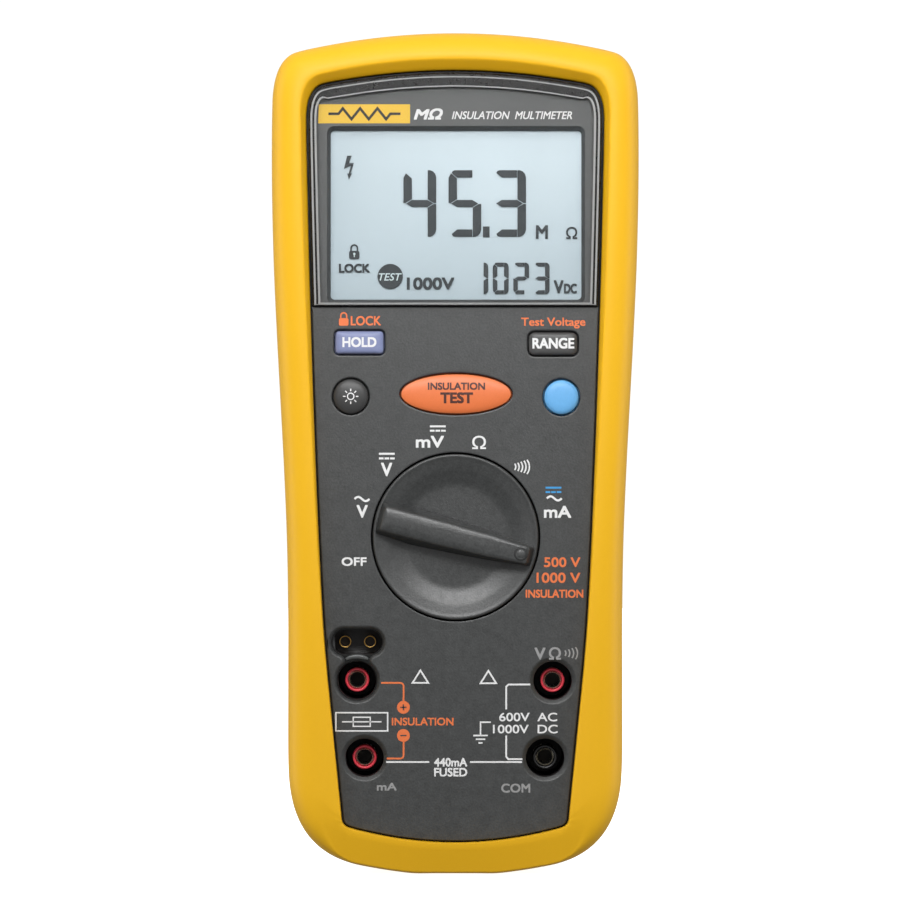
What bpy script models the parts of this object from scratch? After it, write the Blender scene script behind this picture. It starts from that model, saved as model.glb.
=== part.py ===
"""A hand-held insulation resistance tester in a rubbery holster, standing upright.

The front faces -Y, +X is to the right seen from the front, and +Z runs up its length. The origin
is on the surface it stands on, under the middle of its width and depth. Sizes are in millimetres
and become metres when a mesh is made.
"""
import math

import bmesh
import bpy

MM = 0.001

# the whole instrument
LENGTH = 203.0
FRONT_Y = -25.0
BACK_Y = 25.0

# the holster's outline, seen from the front
FOOT_RADIUS = 110.0
FOOT_FLAT = 0.45
SIDE_LOW_HALF = 40.4
SIDE_SWELL = 3.95
SIDE_SWELL_FROM = 62.0
SIDE_SWELL_OVER = 108.0
CROWN_RADIUS = 164.0

# the holster's wall
HOLSTER_WALL = 3.8
LIP_INSIDE_Y = -18.3
LIP_EDGE_Y = -21.6
BACK_LIP_INSIDE_Y = 20.9
FIT = 0.4

# the case inside it
FACE_Y = -21.0
FACE_INSIDE_Y = -18.5
CASE_WALL = 2.0
SPLIT_HALF_GAP = 0.9
REAR_Y = 21.5
REAR_INSIDE_Y = 19.4

# the display
LCD_CENTRE = (0.2, 159.0)
LCD_VIEW = (60.6, 40.8)
LENS_FOOT_Z = 137.1
LENS_FRONT_Y = -22.6

# the keys: centre, half width, half height, corner radius (0 makes an ellipse)
KEYS = {
    "hold": (-23.1, 128.2, 5.75, 2.7, 1.0),
    "range": (23.6, 127.9, 5.75, 2.7, 1.0),
    "backlight": (-25.2, 115.2, 4.1, 4.1, 0.0),
    "test": (0.2, 115.8, 13.2, 4.7, 0.0),
    "function": (25.6, 115.0, 4.1, 4.1, 0.0),
}
KEY_GAP = 0.4
KEY_FRONT_Y = -22.3
KEY_FLANGE_Y = -18.1
KEY_STEM_END_Y = -10.7

# the rotary switch
KNOB_X = 0.1
KNOB_Z = 81.3
KNOB_RADIUS = 20.0
KNOB_RIM_Y = -21.8
KNOB_BOTTOM_Y = -18.1
KNOB_REST_DEG = -14.5
SHAFT_RADIUS = 6.0
GRIP_TAIL = -19.4
GRIP_NOSE = 19.0
GRIP_TAIL_HALF = 4.3
GRIP_MID_HALF = 3.9
GRIP_NOSE_HALF = 3.05
DOT_REACH = 16.2
DOT_RADIUS = 1.3
DOT_GAP = 0.25

# the jacks: centres of the four wells
JACKS = {
    "plus": (-23.7, 46.7),
    "volt": (23.5, 46.6),
    "current": (-21.9, 28.0),
    "common": (21.7, 28.0),
}
WELL_RADIUS = 4.62
SHROUD_RADIUS = 5.3
SHROUD_END_Y = 1.6
POST_RADIUS = 2.92
POST_BORE = 2.07
POST_FRONT_Y = -16.5
SOCKET_CENTRE = (-23.6, 55.9)
SOCKET_HALF = (6.0, 2.97)
PROBE_PIN_HALF_PITCH = 3.0

# the circuit board
BOARD_FRONT_Y = -8.0
BOARD_BACK_Y = -6.4
BOARD_INSET = 8.0

# screws that close the case
SCREWS = {
    "lower_left": (-22.0, 14.8),
    "lower_right": (22.0, 14.8),
    "upper_left": (-30.0, 188.3),
    "upper_right": (30.0, 188.3),
}
POST_OUTER = 3.0

# batteries and their compartment
BATTERY_RADIUS = 7.1
BATTERY_LENGTH = 50.5
BATTERY_PITCH = 14.55
BATTERY_Y = 11.6
BATTERY_FOOT_Z = 35.6
TRAY_HALF = 30.0
TRAY_LOW_Z = 22.5
TRAY_HIGH_Z = 90.5
TRAY_FLOOR_Y = 3.6
LOCK_Z = 28.2
LOCK_X = 19.5

# the tilting stand on the back
STAND_HALF = 34.2
STAND_ARM = 3.6
STAND_HINGE_Y = 23.3
STAND_HINGE_Z = 118.0
STAND_HALF_THICK = 1.4
STAND_FOOT_Z = 14.9
STAND_BAR = 5.0
HINGE_PIN_RADIUS = 1.1
HINGE_BORE = 1.35

MATERIALS = {
    "holster_yellow": ((0.96, 0.50, 0.03), 0.55, 0.0),
    "case_grey": ((0.10, 0.10, 0.10), 0.6, 0.0),
    "black_plastic": ((0.015, 0.015, 0.015), 0.5, 0.0),
    "mask_grey": ((0.16, 0.165, 0.165), 0.4, 0.0),
    "clear_lens": ((0.85, 0.9, 0.92), 0.05, 0.0),
    "lcd_glass": ((0.62, 0.73, 0.76), 0.15, 0.0),
    "diffuser_white": ((0.85, 0.87, 0.88), 0.5, 0.0),
    "board_green": ((0.02, 0.13, 0.06), 0.45, 0.0),
    "silicone": ((0.25, 0.25, 0.26), 0.7, 0.0),
    "key_violet": ((0.23, 0.24, 0.48), 0.5, 0.0),
    "key_grey": ((0.07, 0.07, 0.07), 0.5, 0.0),
    "key_orange": ((0.90, 0.22, 0.06), 0.5, 0.0),
    "key_blue": ((0.11, 0.43, 0.78), 0.5, 0.0),
    "knob_grey": ((0.07, 0.07, 0.07), 0.55, 0.0),
    "ring_red": ((0.70, 0.03, 0.05), 0.4, 0.0),
    "brass": ((0.78, 0.58, 0.26), 0.3, 1.0),
    "spring_steel": ((0.62, 0.62, 0.60), 0.3, 1.0),
    "fuse_ceramic": ((0.82, 0.78, 0.68), 0.4, 0.0),
    "battery_black": ((0.03, 0.03, 0.035), 0.35, 0.0),
    "label_silver": ((0.60, 0.60, 0.58), 0.4, 0.0),
    "core_ferrite": ((0.09, 0.08, 0.08), 0.6, 0.0),
    "relay_blue": ((0.04, 0.10, 0.30), 0.4, 0.0),
    "seal_black": ((0.02, 0.02, 0.02), 0.8, 0.0),
}


def clear_scene():
    """Take every object out of the scene."""
    for item in list(bpy.data.objects):
        bpy.data.objects.remove(item)


def make_materials():
    """Give each named finish its Principled material."""
    made = {}
    for name, (colour, roughness, metallic) in MATERIALS.items():
        item = bpy.data.materials.new(name)
        item.use_nodes = True
        shader = item.node_tree.nodes["Principled BSDF"]
        shader.inputs["Base Color"].default_value = (*colour, 1.0)
        shader.inputs["Roughness"].default_value = roughness
        shader.inputs["Metallic"].default_value = metallic
        made[name] = item
    return made


class Shape:
    """The points, in millimetres, and the faces of one mesh."""

    def __init__(self):
        self.points = []
        self.faces = []

    def loft(self, rings, closed=False):
        """Skin rings of equal count, with a cap at each end unless the last ring meets the first."""
        first = len(self.points)
        count = len(rings[0])
        rows = len(rings)
        for ring in rings:
            self.points.extend(ring)
        for row in range(rows if closed else rows - 1):
            here = first + row * count
            there = first + (row + 1) % rows * count
            for step in range(count):
                after = (step + 1) % count
                self.faces.append((here + step, here + after, there + after, there + step))
        if not closed:
            self.faces.append(tuple(range(first, first + count)))
            self.faces.append(tuple(range(first + (rows - 1) * count, first + rows * count)))
        return self

    def prism(self, outline, y_from, y_to):
        """Stretch a flat outline in depth."""
        return self.loft([at_depth(outline, y_from), at_depth(outline, y_to)])

    def block(self, low, high):
        """A box between two corners."""
        outline = [(low[0], low[2]), (high[0], low[2]), (high[0], high[2]), (low[0], high[2])]
        return self.prism(outline, low[1], high[1])

    def turned(self, centre, profile, sides, closed=False):
        """Turn a profile of (radius, y) about an axis in depth through a centre."""
        rings = [at_depth(circle(centre, radius, sides), y) for radius, y in profile]
        return self.loft(rings, closed)

    def place(self, name, finish, origin=(0.0, 0.0, 0.0), smooth=False):
        """Make an object of the shape, with its origin at a point of the frame."""
        mesh = bpy.data.meshes.new(name)
        moved = [[(value - start) * MM for value, start in zip(point, origin)] for point in self.points]
        mesh.from_pydata(moved, [], self.faces)
        work = bmesh.new()
        work.from_mesh(mesh)
        bmesh.ops.recalc_face_normals(work, faces=work.faces)
        work.to_mesh(mesh)
        work.free()
        if smooth:
            mesh.shade_smooth()
            mesh.set_sharp_from_angle(angle=math.radians(35))
        item = bpy.data.objects.new(name, mesh)
        item.location = [value * MM for value in origin]
        bpy.context.scene.collection.objects.link(item)
        if finish:
            mesh.materials.append(finish)
        return item

    def tool(self, name):
        """Make a hidden object that only cuts or adds to another."""
        item = self.place(name, None)
        item.hide_render = True
        item.display_type = "WIRE"
        return item


def combine(item, tool, operation):
    """Cut a tool out of an object, or add it."""
    step = item.modifiers.new(tool.name, "BOOLEAN")
    step.operation = operation
    step.solver = "EXACT"
    step.object = tool


def at_depth(outline, y):
    """Stand a flat outline of (x, z) at one depth."""
    return [(x, y, z) for x, z in outline]


def circle(centre, radius, sides):
    """A circle's points."""
    turns = [2 * math.pi * step / sides for step in range(sides)]
    return [(centre[0] + radius * math.cos(a), centre[1] + radius * math.sin(a)) for a in turns]


def ellipse(centre, half_width, half_height, sides):
    """An ellipse's points."""
    turns = [2 * math.pi * step / sides for step in range(sides)]
    return [(centre[0] + half_width * math.cos(a), centre[1] + half_height * math.sin(a)) for a in turns]


def rounded(centre, half_width, half_height, radius, steps):
    """A rectangle with round corners."""
    points = []
    for corner in range(4):
        side_x = 1 if corner in (0, 3) else -1
        side_z = 1 if corner in (0, 1) else -1
        mid_x = centre[0] + side_x * (half_width - radius)
        mid_z = centre[1] + side_z * (half_height - radius)
        for step in range(steps + 1):
            angle = math.pi / 2 * (corner + step / steps)
            points.append((mid_x + radius * math.cos(angle), mid_z + radius * math.sin(angle)))
    return points


def bezier(start, pull, end, steps):
    """A curve from start to end, pulled towards a third point, without its two ends."""
    points = []
    for step in range(1, steps):
        t = step / steps
        parts = ((1 - t) ** 2, 2 * t * (1 - t), t * t)
        points.append(tuple(sum(w * p[k] for w, p in zip(parts, (start, pull, end))) for k in (0, 1)))
    return points


def smooth_step(value):
    """Rise from 0 to 1 with level ends."""
    value = min(max(value, 0.0), 1.0)
    return value * value * (3 - 2 * value)


def whole(right_half):
    """Mirror the right half of an outline, given from its foot to its crown."""
    left = [(-x, z) for x, z in reversed(right_half[1:-1])]
    return right_half + left


def offset(outline, distance):
    """Move a counter-clockwise outline inwards by one distance, square to its sides."""
    points = []
    count = len(outline)
    for place, (x, z) in enumerate(outline):
        before = outline[place - 1]
        after = outline[(place + 1) % count]
        sides = []
        for start, end in ((before, (x, z)), ((x, z), after)):
            along = (end[0] - start[0], end[1] - start[1])
            size = math.hypot(*along)
            sides.append((-along[1] / size, along[0] / size))
        mid = (sides[0][0] + sides[1][0], sides[0][1] + sides[1][1])
        size = math.hypot(*mid)
        mid = (mid[0] / size, mid[1] / size)
        reach = distance / (mid[0] * sides[0][0] + mid[1] * sides[0][1])
        points.append((x + mid[0] * reach, z + mid[1] * reach))
    return points


def side_half(z):
    """The holster's half width at a height on its sides."""
    swell = SIDE_SWELL * smooth_step((z - SIDE_SWELL_FROM) / SIDE_SWELL_OVER)
    return SIDE_LOW_HALF + swell


def outer_outline(inset=0.0):
    """The holster's silhouette, with a small flat to stand on, or a like outline inside it."""
    radius = FOOT_RADIUS - inset
    foot = []
    flat = math.sqrt(radius**2 - (radius - FOOT_FLAT) ** 2)
    for x in (0.0, flat / 2, flat, 14.5, 19.5, 25.0 - inset / 3):
        foot.append((x, inset + max(0.0, radius - math.sqrt(radius**2 - x * x) - FOOT_FLAT)))
    low = (side_half(25.0) - 0.1 - inset, 25.0)
    corner = bezier(foot[-1], (39.8 - inset, 6.4 + 0.8 * inset), low, 7)
    heights = (25.0, 45.0, 62.0, 80.0, 98.0, 114.0, 130.0, 148.0, 168.0)
    side = [(side_half(z) - inset, z) for z in heights]
    side[0] = low
    high = (side_half(185.0) - 0.1 - inset, 185.0 - 0.4 * inset)
    radius = CROWN_RADIUS - inset
    edge = 37.5 - 1.1 * inset
    crown = []
    for x in (edge, 0.75 * edge, 0.5 * edge, 0.25 * edge, 0.0):
        crown.append((x, LENGTH - inset - radius + math.sqrt(radius**2 - x * x)))
    shoulder = bezier(high, (44.2 - inset, 197.4 - inset), crown[0], 6)
    return whole(foot + corner + side + [high] + shoulder + crown)


def window_half(z):
    """The half width of the holster's front opening at a height."""
    return 33.9 + 3.9 * (z - 100) / 100 - 1.4 * ((z - 100) / 100) ** 2 - 0.55 * smooth_step((52 - z) / 40)


def window_outline():
    """The holster's front opening, with as many points as the silhouette."""
    foot_z = 7.7
    foot_radius = 95.0
    foot = []
    for x in (0.0, 4.0, 8.0, 12.5, 17.0, 22.0):
        foot.append((x, foot_z + foot_radius - math.sqrt(foot_radius**2 - x * x)))
    low = (window_half(15.5), 15.5)
    corner = bezier(foot[-1], (27.4, 11.6), low, 7)
    heights = (15.5, 37.0, 57.0, 77.0, 96.0, 114.0, 130.0, 148.0, 166.0)
    side = [(window_half(z), z) for z in heights]
    high = (window_half(181.0), 181.0)
    crown_z = 194.8
    crown_radius = 158.0
    crown = []
    for x in (32.0, 25.0, 17.0, 8.5, 0.0):
        crown.append((x, crown_z - crown_radius + math.sqrt(crown_radius**2 - x * x)))
    shoulder = bezier(high, (36.4, 190.4), crown[0], 6)
    return whole(foot + corner + side + [high] + shoulder + crown)


def back_window_outline():
    """The holster's opening at the back, around the stand and the battery door."""
    low_z = 12.9
    high_z = 122.5
    half = 35.0
    foot = [(x, low_z) for x in (0.0, 6.2, 12.4, 18.6, 24.8, 31.0)]
    low = (half, 17.0)
    corner = bezier(foot[-1], (half, low_z), low, 7)
    side = [(half, 17.0 + 11.5 * step) for step in range(9)]
    high = (half, 117.0)
    crown = [(x, high_z) for x in (29.5, 22.0, 15.0, 7.5, 0.0)]
    shoulder = bezier(high, (half, high_z), crown[0], 6)
    return whole(foot + corner + side + [high] + shoulder + crown)


def between(first, second, share):
    """An outline part of the way from one to another."""
    return [(a[0] + (b[0] - a[0]) * share, a[1] + (b[1] - a[1]) * share) for a, b in zip(first, second)]


def lens_outline(inset):
    """The display window: straight at its foot, following the opening at its sides and top."""
    foot_z = LENS_FOOT_Z + inset
    top = [point for point in offset(window_outline(), 0.6 + inset) if point[1] > foot_z + 1.0]
    half = window_half(foot_z) - 0.6 - inset
    return [(-half, foot_z), (half, foot_z)] + top


def make_holster(finish):
    """The holster: a wall around the case with an inward lip at the front and at the back."""
    outer = outer_outline()
    window = window_outline()
    back_window = back_window_outline()
    cavity = outer_outline(HOLSTER_WALL)
    sections = [
        (window, LIP_INSIDE_Y),
        (window, LIP_EDGE_Y),
        (between(window, outer, 0.27), -24.2),
        (between(window, outer, 0.42), FRONT_Y),
        (between(window, outer, 0.64), -24.6),
        (between(window, outer, 0.88), -22.3),
        (outer, -17.5),
        (outer, 11.0),
        (outer_outline(0.9), 20.0),
        (outer_outline(2.6), 23.6),
        (outer_outline(4.6), BACK_Y),
        (back_window, BACK_Y),
        (back_window, BACK_LIP_INSIDE_Y),
        (cavity, BACK_LIP_INSIDE_Y),
        (cavity, LIP_INSIDE_Y),
    ]
    shape = Shape().loft([at_depth(outline, y) for outline, y in sections], closed=True)
    item = shape.place("holster", finish["holster_yellow"], smooth=True)
    bores = Shape()
    for side in (-1, 1):
        rings = []
        for x in (side * (STAND_HALF - 1.0), side * 38.0):
            bore = circle((STAND_HINGE_Y, STAND_HINGE_Z), HINGE_BORE, 16)
            rings.append([(x, y, z) for y, z in bore])
        bores.loft(rings)
    combine(item, bores.tool("stand_bores"), "DIFFERENCE")


def make_stand(finish):
    """The U-shaped stand, with a round pin on each arm, which folds into the back window."""
    arm_in = STAND_HALF - STAND_ARM
    arms = Shape()
    for side in (-1, 1):
        rings = []
        for x in (side * STAND_HALF, side * arm_in):
            profile = [(STAND_HINGE_Y + STAND_HALF_THICK, STAND_FOOT_Z + 1.0)]
            for step in range(9):
                angle = math.pi * step / 8
                y = STAND_HINGE_Y + STAND_HALF_THICK * math.cos(angle)
                profile.append((y, STAND_HINGE_Z + STAND_HALF_THICK * math.sin(angle)))
            profile.append((STAND_HINGE_Y - STAND_HALF_THICK, STAND_FOOT_Z + 1.0))
            rings.append([(x, y, z) for y, z in profile])
        arms.loft(rings)
    origin = (0.0, STAND_HINGE_Y, STAND_HINGE_Z)
    bar_mid = (0.0, STAND_FOOT_Z + STAND_BAR / 2)
    bar = rounded(bar_mid, STAND_HALF, STAND_BAR / 2, 1.8, 4)
    low_y = STAND_HINGE_Y - STAND_HALF_THICK
    high_y = STAND_HINGE_Y + STAND_HALF_THICK
    item = Shape().prism(bar, low_y, high_y).place("tilt_stand", finish["case_grey"], origin)
    combine(item, arms.tool("stand_arms"), "UNION")
    pins = Shape()
    for side in (-1, 1):
        rings = []
        for x in (side * (STAND_HALF - 1.5), side * 37.4):
            pin = circle((STAND_HINGE_Y, STAND_HINGE_Z), HINGE_PIN_RADIUS, 16)
            rings.append([(x, y, z) for y, z in pin])
        pins.loft(rings)
    combine(item, pins.tool("stand_pins"), "UNION")


def key_outline(key, grow, sides=22):
    """A key's outline, grown by a distance."""
    x, z, half_width, half_height, radius = KEYS[key]
    if radius:
        return rounded((x, z), half_width + grow, half_height + grow, radius + grow, 3)
    return ellipse((x, z), half_width + grow, half_height + grow, sides)


def make_front_case(finish):
    """The front case: a raised face inside the holster's lip, walls, and bosses inside."""
    outline = outer_outline(HOLSTER_WALL + FIT)
    inside = outer_outline(HOLSTER_WALL + FIT + CASE_WALL)
    face = offset(window_outline(), FIT)
    sections = [
        (face, FACE_Y),
        (face, LIP_INSIDE_Y + FIT),
        (outline, LIP_INSIDE_Y + FIT),
        (outline, -SPLIT_HALF_GAP),
        (inside, -SPLIT_HALF_GAP),
        (inside, LIP_INSIDE_Y + 2.4),
        (offset(face, CASE_WALL), LIP_INSIDE_Y + 2.4),
        (offset(face, CASE_WALL), FACE_INSIDE_Y),
    ]
    shape = Shape().loft([at_depth(ring, y) for ring, y in sections])
    item = shape.place("front_case", finish["case_grey"])
    bosses = Shape().prism(circle((KNOB_X, KNOB_Z), 23.0, 40), FACE_INSIDE_Y - 0.6, -15.7)
    for centre in SCREWS.values():
        bosses.prism(circle(centre, POST_OUTER, 14), FACE_INSIDE_Y - 0.6, -SPLIT_HALF_GAP)
    combine(item, bosses.tool("front_bosses"), "UNION")
    recesses = Shape().prism(lens_outline(-0.3), FACE_Y - 1.0, -19.8)
    recesses.prism(circle((KNOB_X, KNOB_Z), KNOB_RADIUS + 0.5, 48), FACE_Y - 1.0, -17.7)
    for centre in SCREWS.values():
        recesses.prism(circle(centre, 1.65, 12), -12.0, 0.0)
    combine(item, recesses.tool("front_recesses"), "DIFFERENCE")
    holes = Shape().prism(circle((KNOB_X, KNOB_Z), SHAFT_RADIUS + 0.4, 24), -19.0, -14.0)
    view = rounded(LCD_CENTRE, LCD_VIEW[0] / 2 + 0.8, LCD_VIEW[1] / 2 + 0.8, 1.0, 2)
    holes.prism(view, -20.5, -17.0)
    for key in KEYS:
        holes.prism(key_outline(key, KEY_GAP), FACE_Y - 1.0, -17.0)
    for centre in JACKS.values():
        holes.prism(circle(centre, SHROUD_RADIUS + 0.3, 20), FACE_Y - 1.0, -15.0)
    half_width, half_height = SOCKET_HALF
    socket = rounded(SOCKET_CENTRE, half_width + 0.7, half_height + 0.7, half_height + 0.6, 6)
    combine(item, holes.tool("front_holes"), "DIFFERENCE")
    combine(item, Shape().prism(socket, FACE_Y - 1.0, -15.0).tool("socket_hole"), "DIFFERENCE")


def make_rear_case(finish):
    """The rear case: a shell with a battery tray that opens to the back, and screw columns."""
    outline = outer_outline(HOLSTER_WALL + FIT)
    inside = outer_outline(HOLSTER_WALL + FIT + CASE_WALL)
    plateau = offset(back_window_outline(), FIT)
    step_y = BACK_LIP_INSIDE_Y - FIT
    sections = [
        (plateau, REAR_Y),
        (plateau, step_y),
        (outer_outline(HOLSTER_WALL + FIT + 0.8), step_y),
        (outline, 16.0),
        (outline, SPLIT_HALF_GAP),
        (inside, SPLIT_HALF_GAP),
        (inside, step_y - 2.0),
    ]
    shape = Shape().loft([at_depth(ring, y) for ring, y in sections])
    item = shape.place("rear_case", finish["case_grey"])
    walls = Shape().block((-31.4, TRAY_FLOOR_Y - 1.2, TRAY_LOW_Z - 1.4), (31.4, 20.2, TRAY_HIGH_Z + 1.4))
    for centre in SCREWS.values():
        walls.prism(circle(centre, POST_OUTER, 14), SPLIT_HALF_GAP, step_y - 0.6)
    combine(item, walls.tool("rear_walls"), "UNION")
    half = TRAY_HALF
    tray = Shape().block((-half, TRAY_FLOOR_Y, TRAY_LOW_Z), (half, REAR_Y + 1.0, TRAY_HIGH_Z))
    tray.block((-22.4, REAR_Y - 0.6, 95.6), (22.4, REAR_Y + 1.0, 112.4))
    for centre in SCREWS.values():
        tray.turned(centre, [(1.65, 0.0), (1.65, 17.0), (2.7, 17.0), (2.7, REAR_Y + 1.0)], 14)
    combine(item, tray.tool("rear_recesses"), "DIFFERENCE")


def make_seal(finish):
    """The soft seal between the two halves of the case."""
    outline = outer_outline(HOLSTER_WALL + FIT + 0.3)
    inner = outer_outline(HOLSTER_WALL + FIT + CASE_WALL - 0.3)
    depth = SPLIT_HALF_GAP - 0.3
    sections = [(outline, -depth), (outline, depth), (inner, depth), (inner, -depth)]
    shape = Shape().loft([at_depth(ring, y) for ring, y in sections], closed=True)
    shape.place("case_seal", finish["seal_black"])


def make_display(finish):
    """The window, its grey mask, the liquid crystal panel, its light guide, frame and contacts."""
    lens = Shape().loft([
        at_depth(lens_outline(0.8), LENS_FRONT_Y),
        at_depth(lens_outline(0.0), LENS_FRONT_Y + 0.6),
        at_depth(lens_outline(0.0), -20.9),
    ])
    lens.place("display_lens", finish["clear_lens"])
    mask = Shape().prism(lens_outline(0.3), -20.6, -20.1)
    item = mask.place("display_mask", finish["mask_grey"])
    view = rounded(LCD_CENTRE, LCD_VIEW[0] / 2, LCD_VIEW[1] / 2, 0.8, 2)
    combine(item, Shape().prism(view, -22.0, -19.0).tool("mask_opening"), "DIFFERENCE")
    x, z = LCD_CENTRE
    Shape().block((x - 32.0, -18.2, z - 22.6), (x + 32.0, -16.2, z + 22.6)).place(
        "lcd_panel", finish["lcd_glass"])
    Shape().block((x - 31.5, -15.9, z - 19.5), (x + 31.5, -13.4, z + 19.5)).place(
        "lcd_light_guide", finish["diffuser_white"])
    frame = Shape().block((x - 34.4, -15.5, z - 24.4), (x + 34.4, BOARD_FRONT_Y - 0.3, z + 24.4))
    item = frame.place("lcd_frame", finish["diffuser_white"])
    inside = Shape().block((x - 32.4, -17.0, z - 23.0), (x + 32.4, -7.0, z + 23.0))
    combine(item, inside.tool("lcd_frame_inside"), "DIFFERENCE")
    for name, mid in (("lower", z - 21.2), ("upper", z + 21.2)):
        strip = Shape().block((x - 29.0, -15.9, mid - 0.9), (x + 29.0, BOARD_FRONT_Y - 0.3, mid + 0.9))
        strip.place("contact_strip_" + name, finish["silicone"])


def make_board(finish):
    """The circuit board behind the display, keys and switch."""
    outline = outer_outline(BOARD_INSET)
    shape = Shape().prism(outline, BOARD_FRONT_Y, BOARD_BACK_Y)
    item = shape.place("main_board", finish["board_green"])
    holes = Shape()
    for centre in SCREWS.values():
        holes.prism(circle(centre, POST_OUTER + 0.4, 14), BOARD_FRONT_Y - 1.0, BOARD_BACK_Y + 1.0)
    for centre in JACKS.values():
        holes.prism(circle(centre, SHROUD_RADIUS + 0.4, 16), BOARD_FRONT_Y - 1.0, BOARD_BACK_Y + 1.0)
    combine(item, holes.tool("board_holes"), "DIFFERENCE")


def make_keys(finish):
    """Five keys that slide in the face, each with a flange that keeps it in, and their mat."""
    colours = {
        "hold": "key_violet",
        "range": "key_grey",
        "backlight": "key_grey",
        "test": "key_orange",
        "function": "key_blue",
    }
    for key, colour in colours.items():
        x, z, half_width, half_height, _radius = KEYS[key]
        stem = min(half_width, half_height) - 1.0
        sections = [
            (key_outline(key, -0.9), KEY_FRONT_Y),
            (key_outline(key, -0.25), KEY_FRONT_Y + 0.35),
            (key_outline(key, 0.0), KEY_FRONT_Y + 0.9),
            (key_outline(key, 0.0), KEY_FLANGE_Y),
            (key_outline(key, 0.8), KEY_FLANGE_Y),
            (key_outline(key, 0.8), KEY_FLANGE_Y + 0.9),
            (key_outline(key, -half_height + stem), KEY_FLANGE_Y + 0.9),
            (key_outline(key, -half_height + stem), KEY_STEM_END_Y),
        ]
        shape = Shape().loft([at_depth(ring, y) for ring, y in sections])
        shape.place("key_" + key, finish[colour], (x, FACE_Y, z))
    mat = rounded((0.2, 121.2), 32.0, 11.6, 2.0, 3)
    Shape().prism(mat, KEY_STEM_END_Y + 0.3, BOARD_FRONT_Y - 0.3).place("keypad_mat", finish["silicone"])


def turned_about_knob(points, degrees):
    """Turn (along, across) points about the knob's centre."""
    angle = math.radians(degrees)
    placed = []
    for along, across in points:
        x = KNOB_X + along * math.cos(angle) - across * math.sin(angle)
        z = KNOB_Z + along * math.sin(angle) + across * math.cos(angle)
        placed.append((x, z))
    return placed


def grip_outline(grow):
    """The knob's grip: a wide tail that narrows to the nose that points at a legend."""
    tail_half = GRIP_TAIL_HALF + grow
    mid_half = GRIP_MID_HALF + grow
    nose_half = GRIP_NOSE_HALF + grow
    bevel = 0.5 * nose_half
    points = [(GRIP_TAIL, -tail_half), (0.0, -mid_half), (GRIP_NOSE - bevel, -nose_half)]
    points += [(GRIP_NOSE, -nose_half + bevel), (GRIP_NOSE, nose_half - bevel)]
    points += [(GRIP_NOSE - bevel, nose_half), (0.0, mid_half), (GRIP_TAIL, tail_half)]
    return turned_about_knob(points, KNOB_REST_DEG)


def make_knob(finish):
    """The rotary switch: a dished knob with a grip, its pointer dot, rotor, wiper and detent."""
    centre = (KNOB_X, KNOB_Z)
    origin = (KNOB_X, FACE_Y, KNOB_Z)
    profile = [
        (SHAFT_RADIUS, -12.4),
        (SHAFT_RADIUS, KNOB_BOTTOM_Y),
        (KNOB_RADIUS - 0.3, KNOB_BOTTOM_Y),
        (KNOB_RADIUS, KNOB_BOTTOM_Y - 0.4),
        (KNOB_RADIUS, KNOB_RIM_Y + 0.5),
        (KNOB_RADIUS - 0.5, KNOB_RIM_Y),
        (KNOB_RADIUS - 1.2, KNOB_RIM_Y + 0.2),
        (KNOB_RADIUS - 3.2, -20.3),
        (KNOB_RADIUS - 7.0, -19.5),
        (4.0, -19.3),
    ]
    shape = Shape().turned(centre, profile, 48)
    item = shape.place("rotary_knob", finish["knob_grey"], origin, smooth=True)
    grip = Shape().loft([
        at_depth(grip_outline(0.5), KNOB_BOTTOM_Y - 0.5),
        at_depth(grip_outline(0.0), -23.6),
        at_depth(grip_outline(-0.6), -24.7),
        at_depth(grip_outline(-1.3), FRONT_Y),
    ])
    combine(item, grip.tool("knob_grip"), "UNION")
    dot_mid = turned_about_knob([(DOT_REACH, 0.0)], KNOB_REST_DEG)[0]
    dot_hole = Shape().prism(circle(dot_mid, DOT_RADIUS + DOT_GAP, 18), FRONT_Y - 1.0, -24.0)
    combine(item, dot_hole.tool("dot_hole"), "DIFFERENCE")
    Shape().prism(circle(dot_mid, DOT_RADIUS, 18), FRONT_Y + 0.1, -24.3).place(
        "pointer_dot", finish["key_grey"], origin)
    rotor = [(SHAFT_RADIUS + 0.3, -15.3), (15.0, -15.3), (15.0, -12.0), (SHAFT_RADIUS + 0.3, -12.0)]
    Shape().turned(centre, rotor, 28, closed=True).place("switch_rotor", finish["diffuser_white"], origin)
    wiper = [(7.0, -11.7), (13.5, -11.7), (13.5, -11.0), (12.4, -8.9), (11.4, -8.9), (10.4, -11.0),
             (7.0, -11.0)]
    Shape().turned(centre, wiper, 28, closed=True).place("wiper_spring", finish["brass"], origin)
    bow = [(-7.0, -0.4), (0.0, 1.0), (7.0, -0.4), (7.0, -1.2), (0.0, 0.2), (-7.0, -1.2)]
    leaf = [(KNOB_X + x, KNOB_Z - 17.6 + z) for x, z in bow]
    Shape().prism(leaf, -15.3, -12.0).place("detent_spring", finish["spring_steel"])


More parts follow.
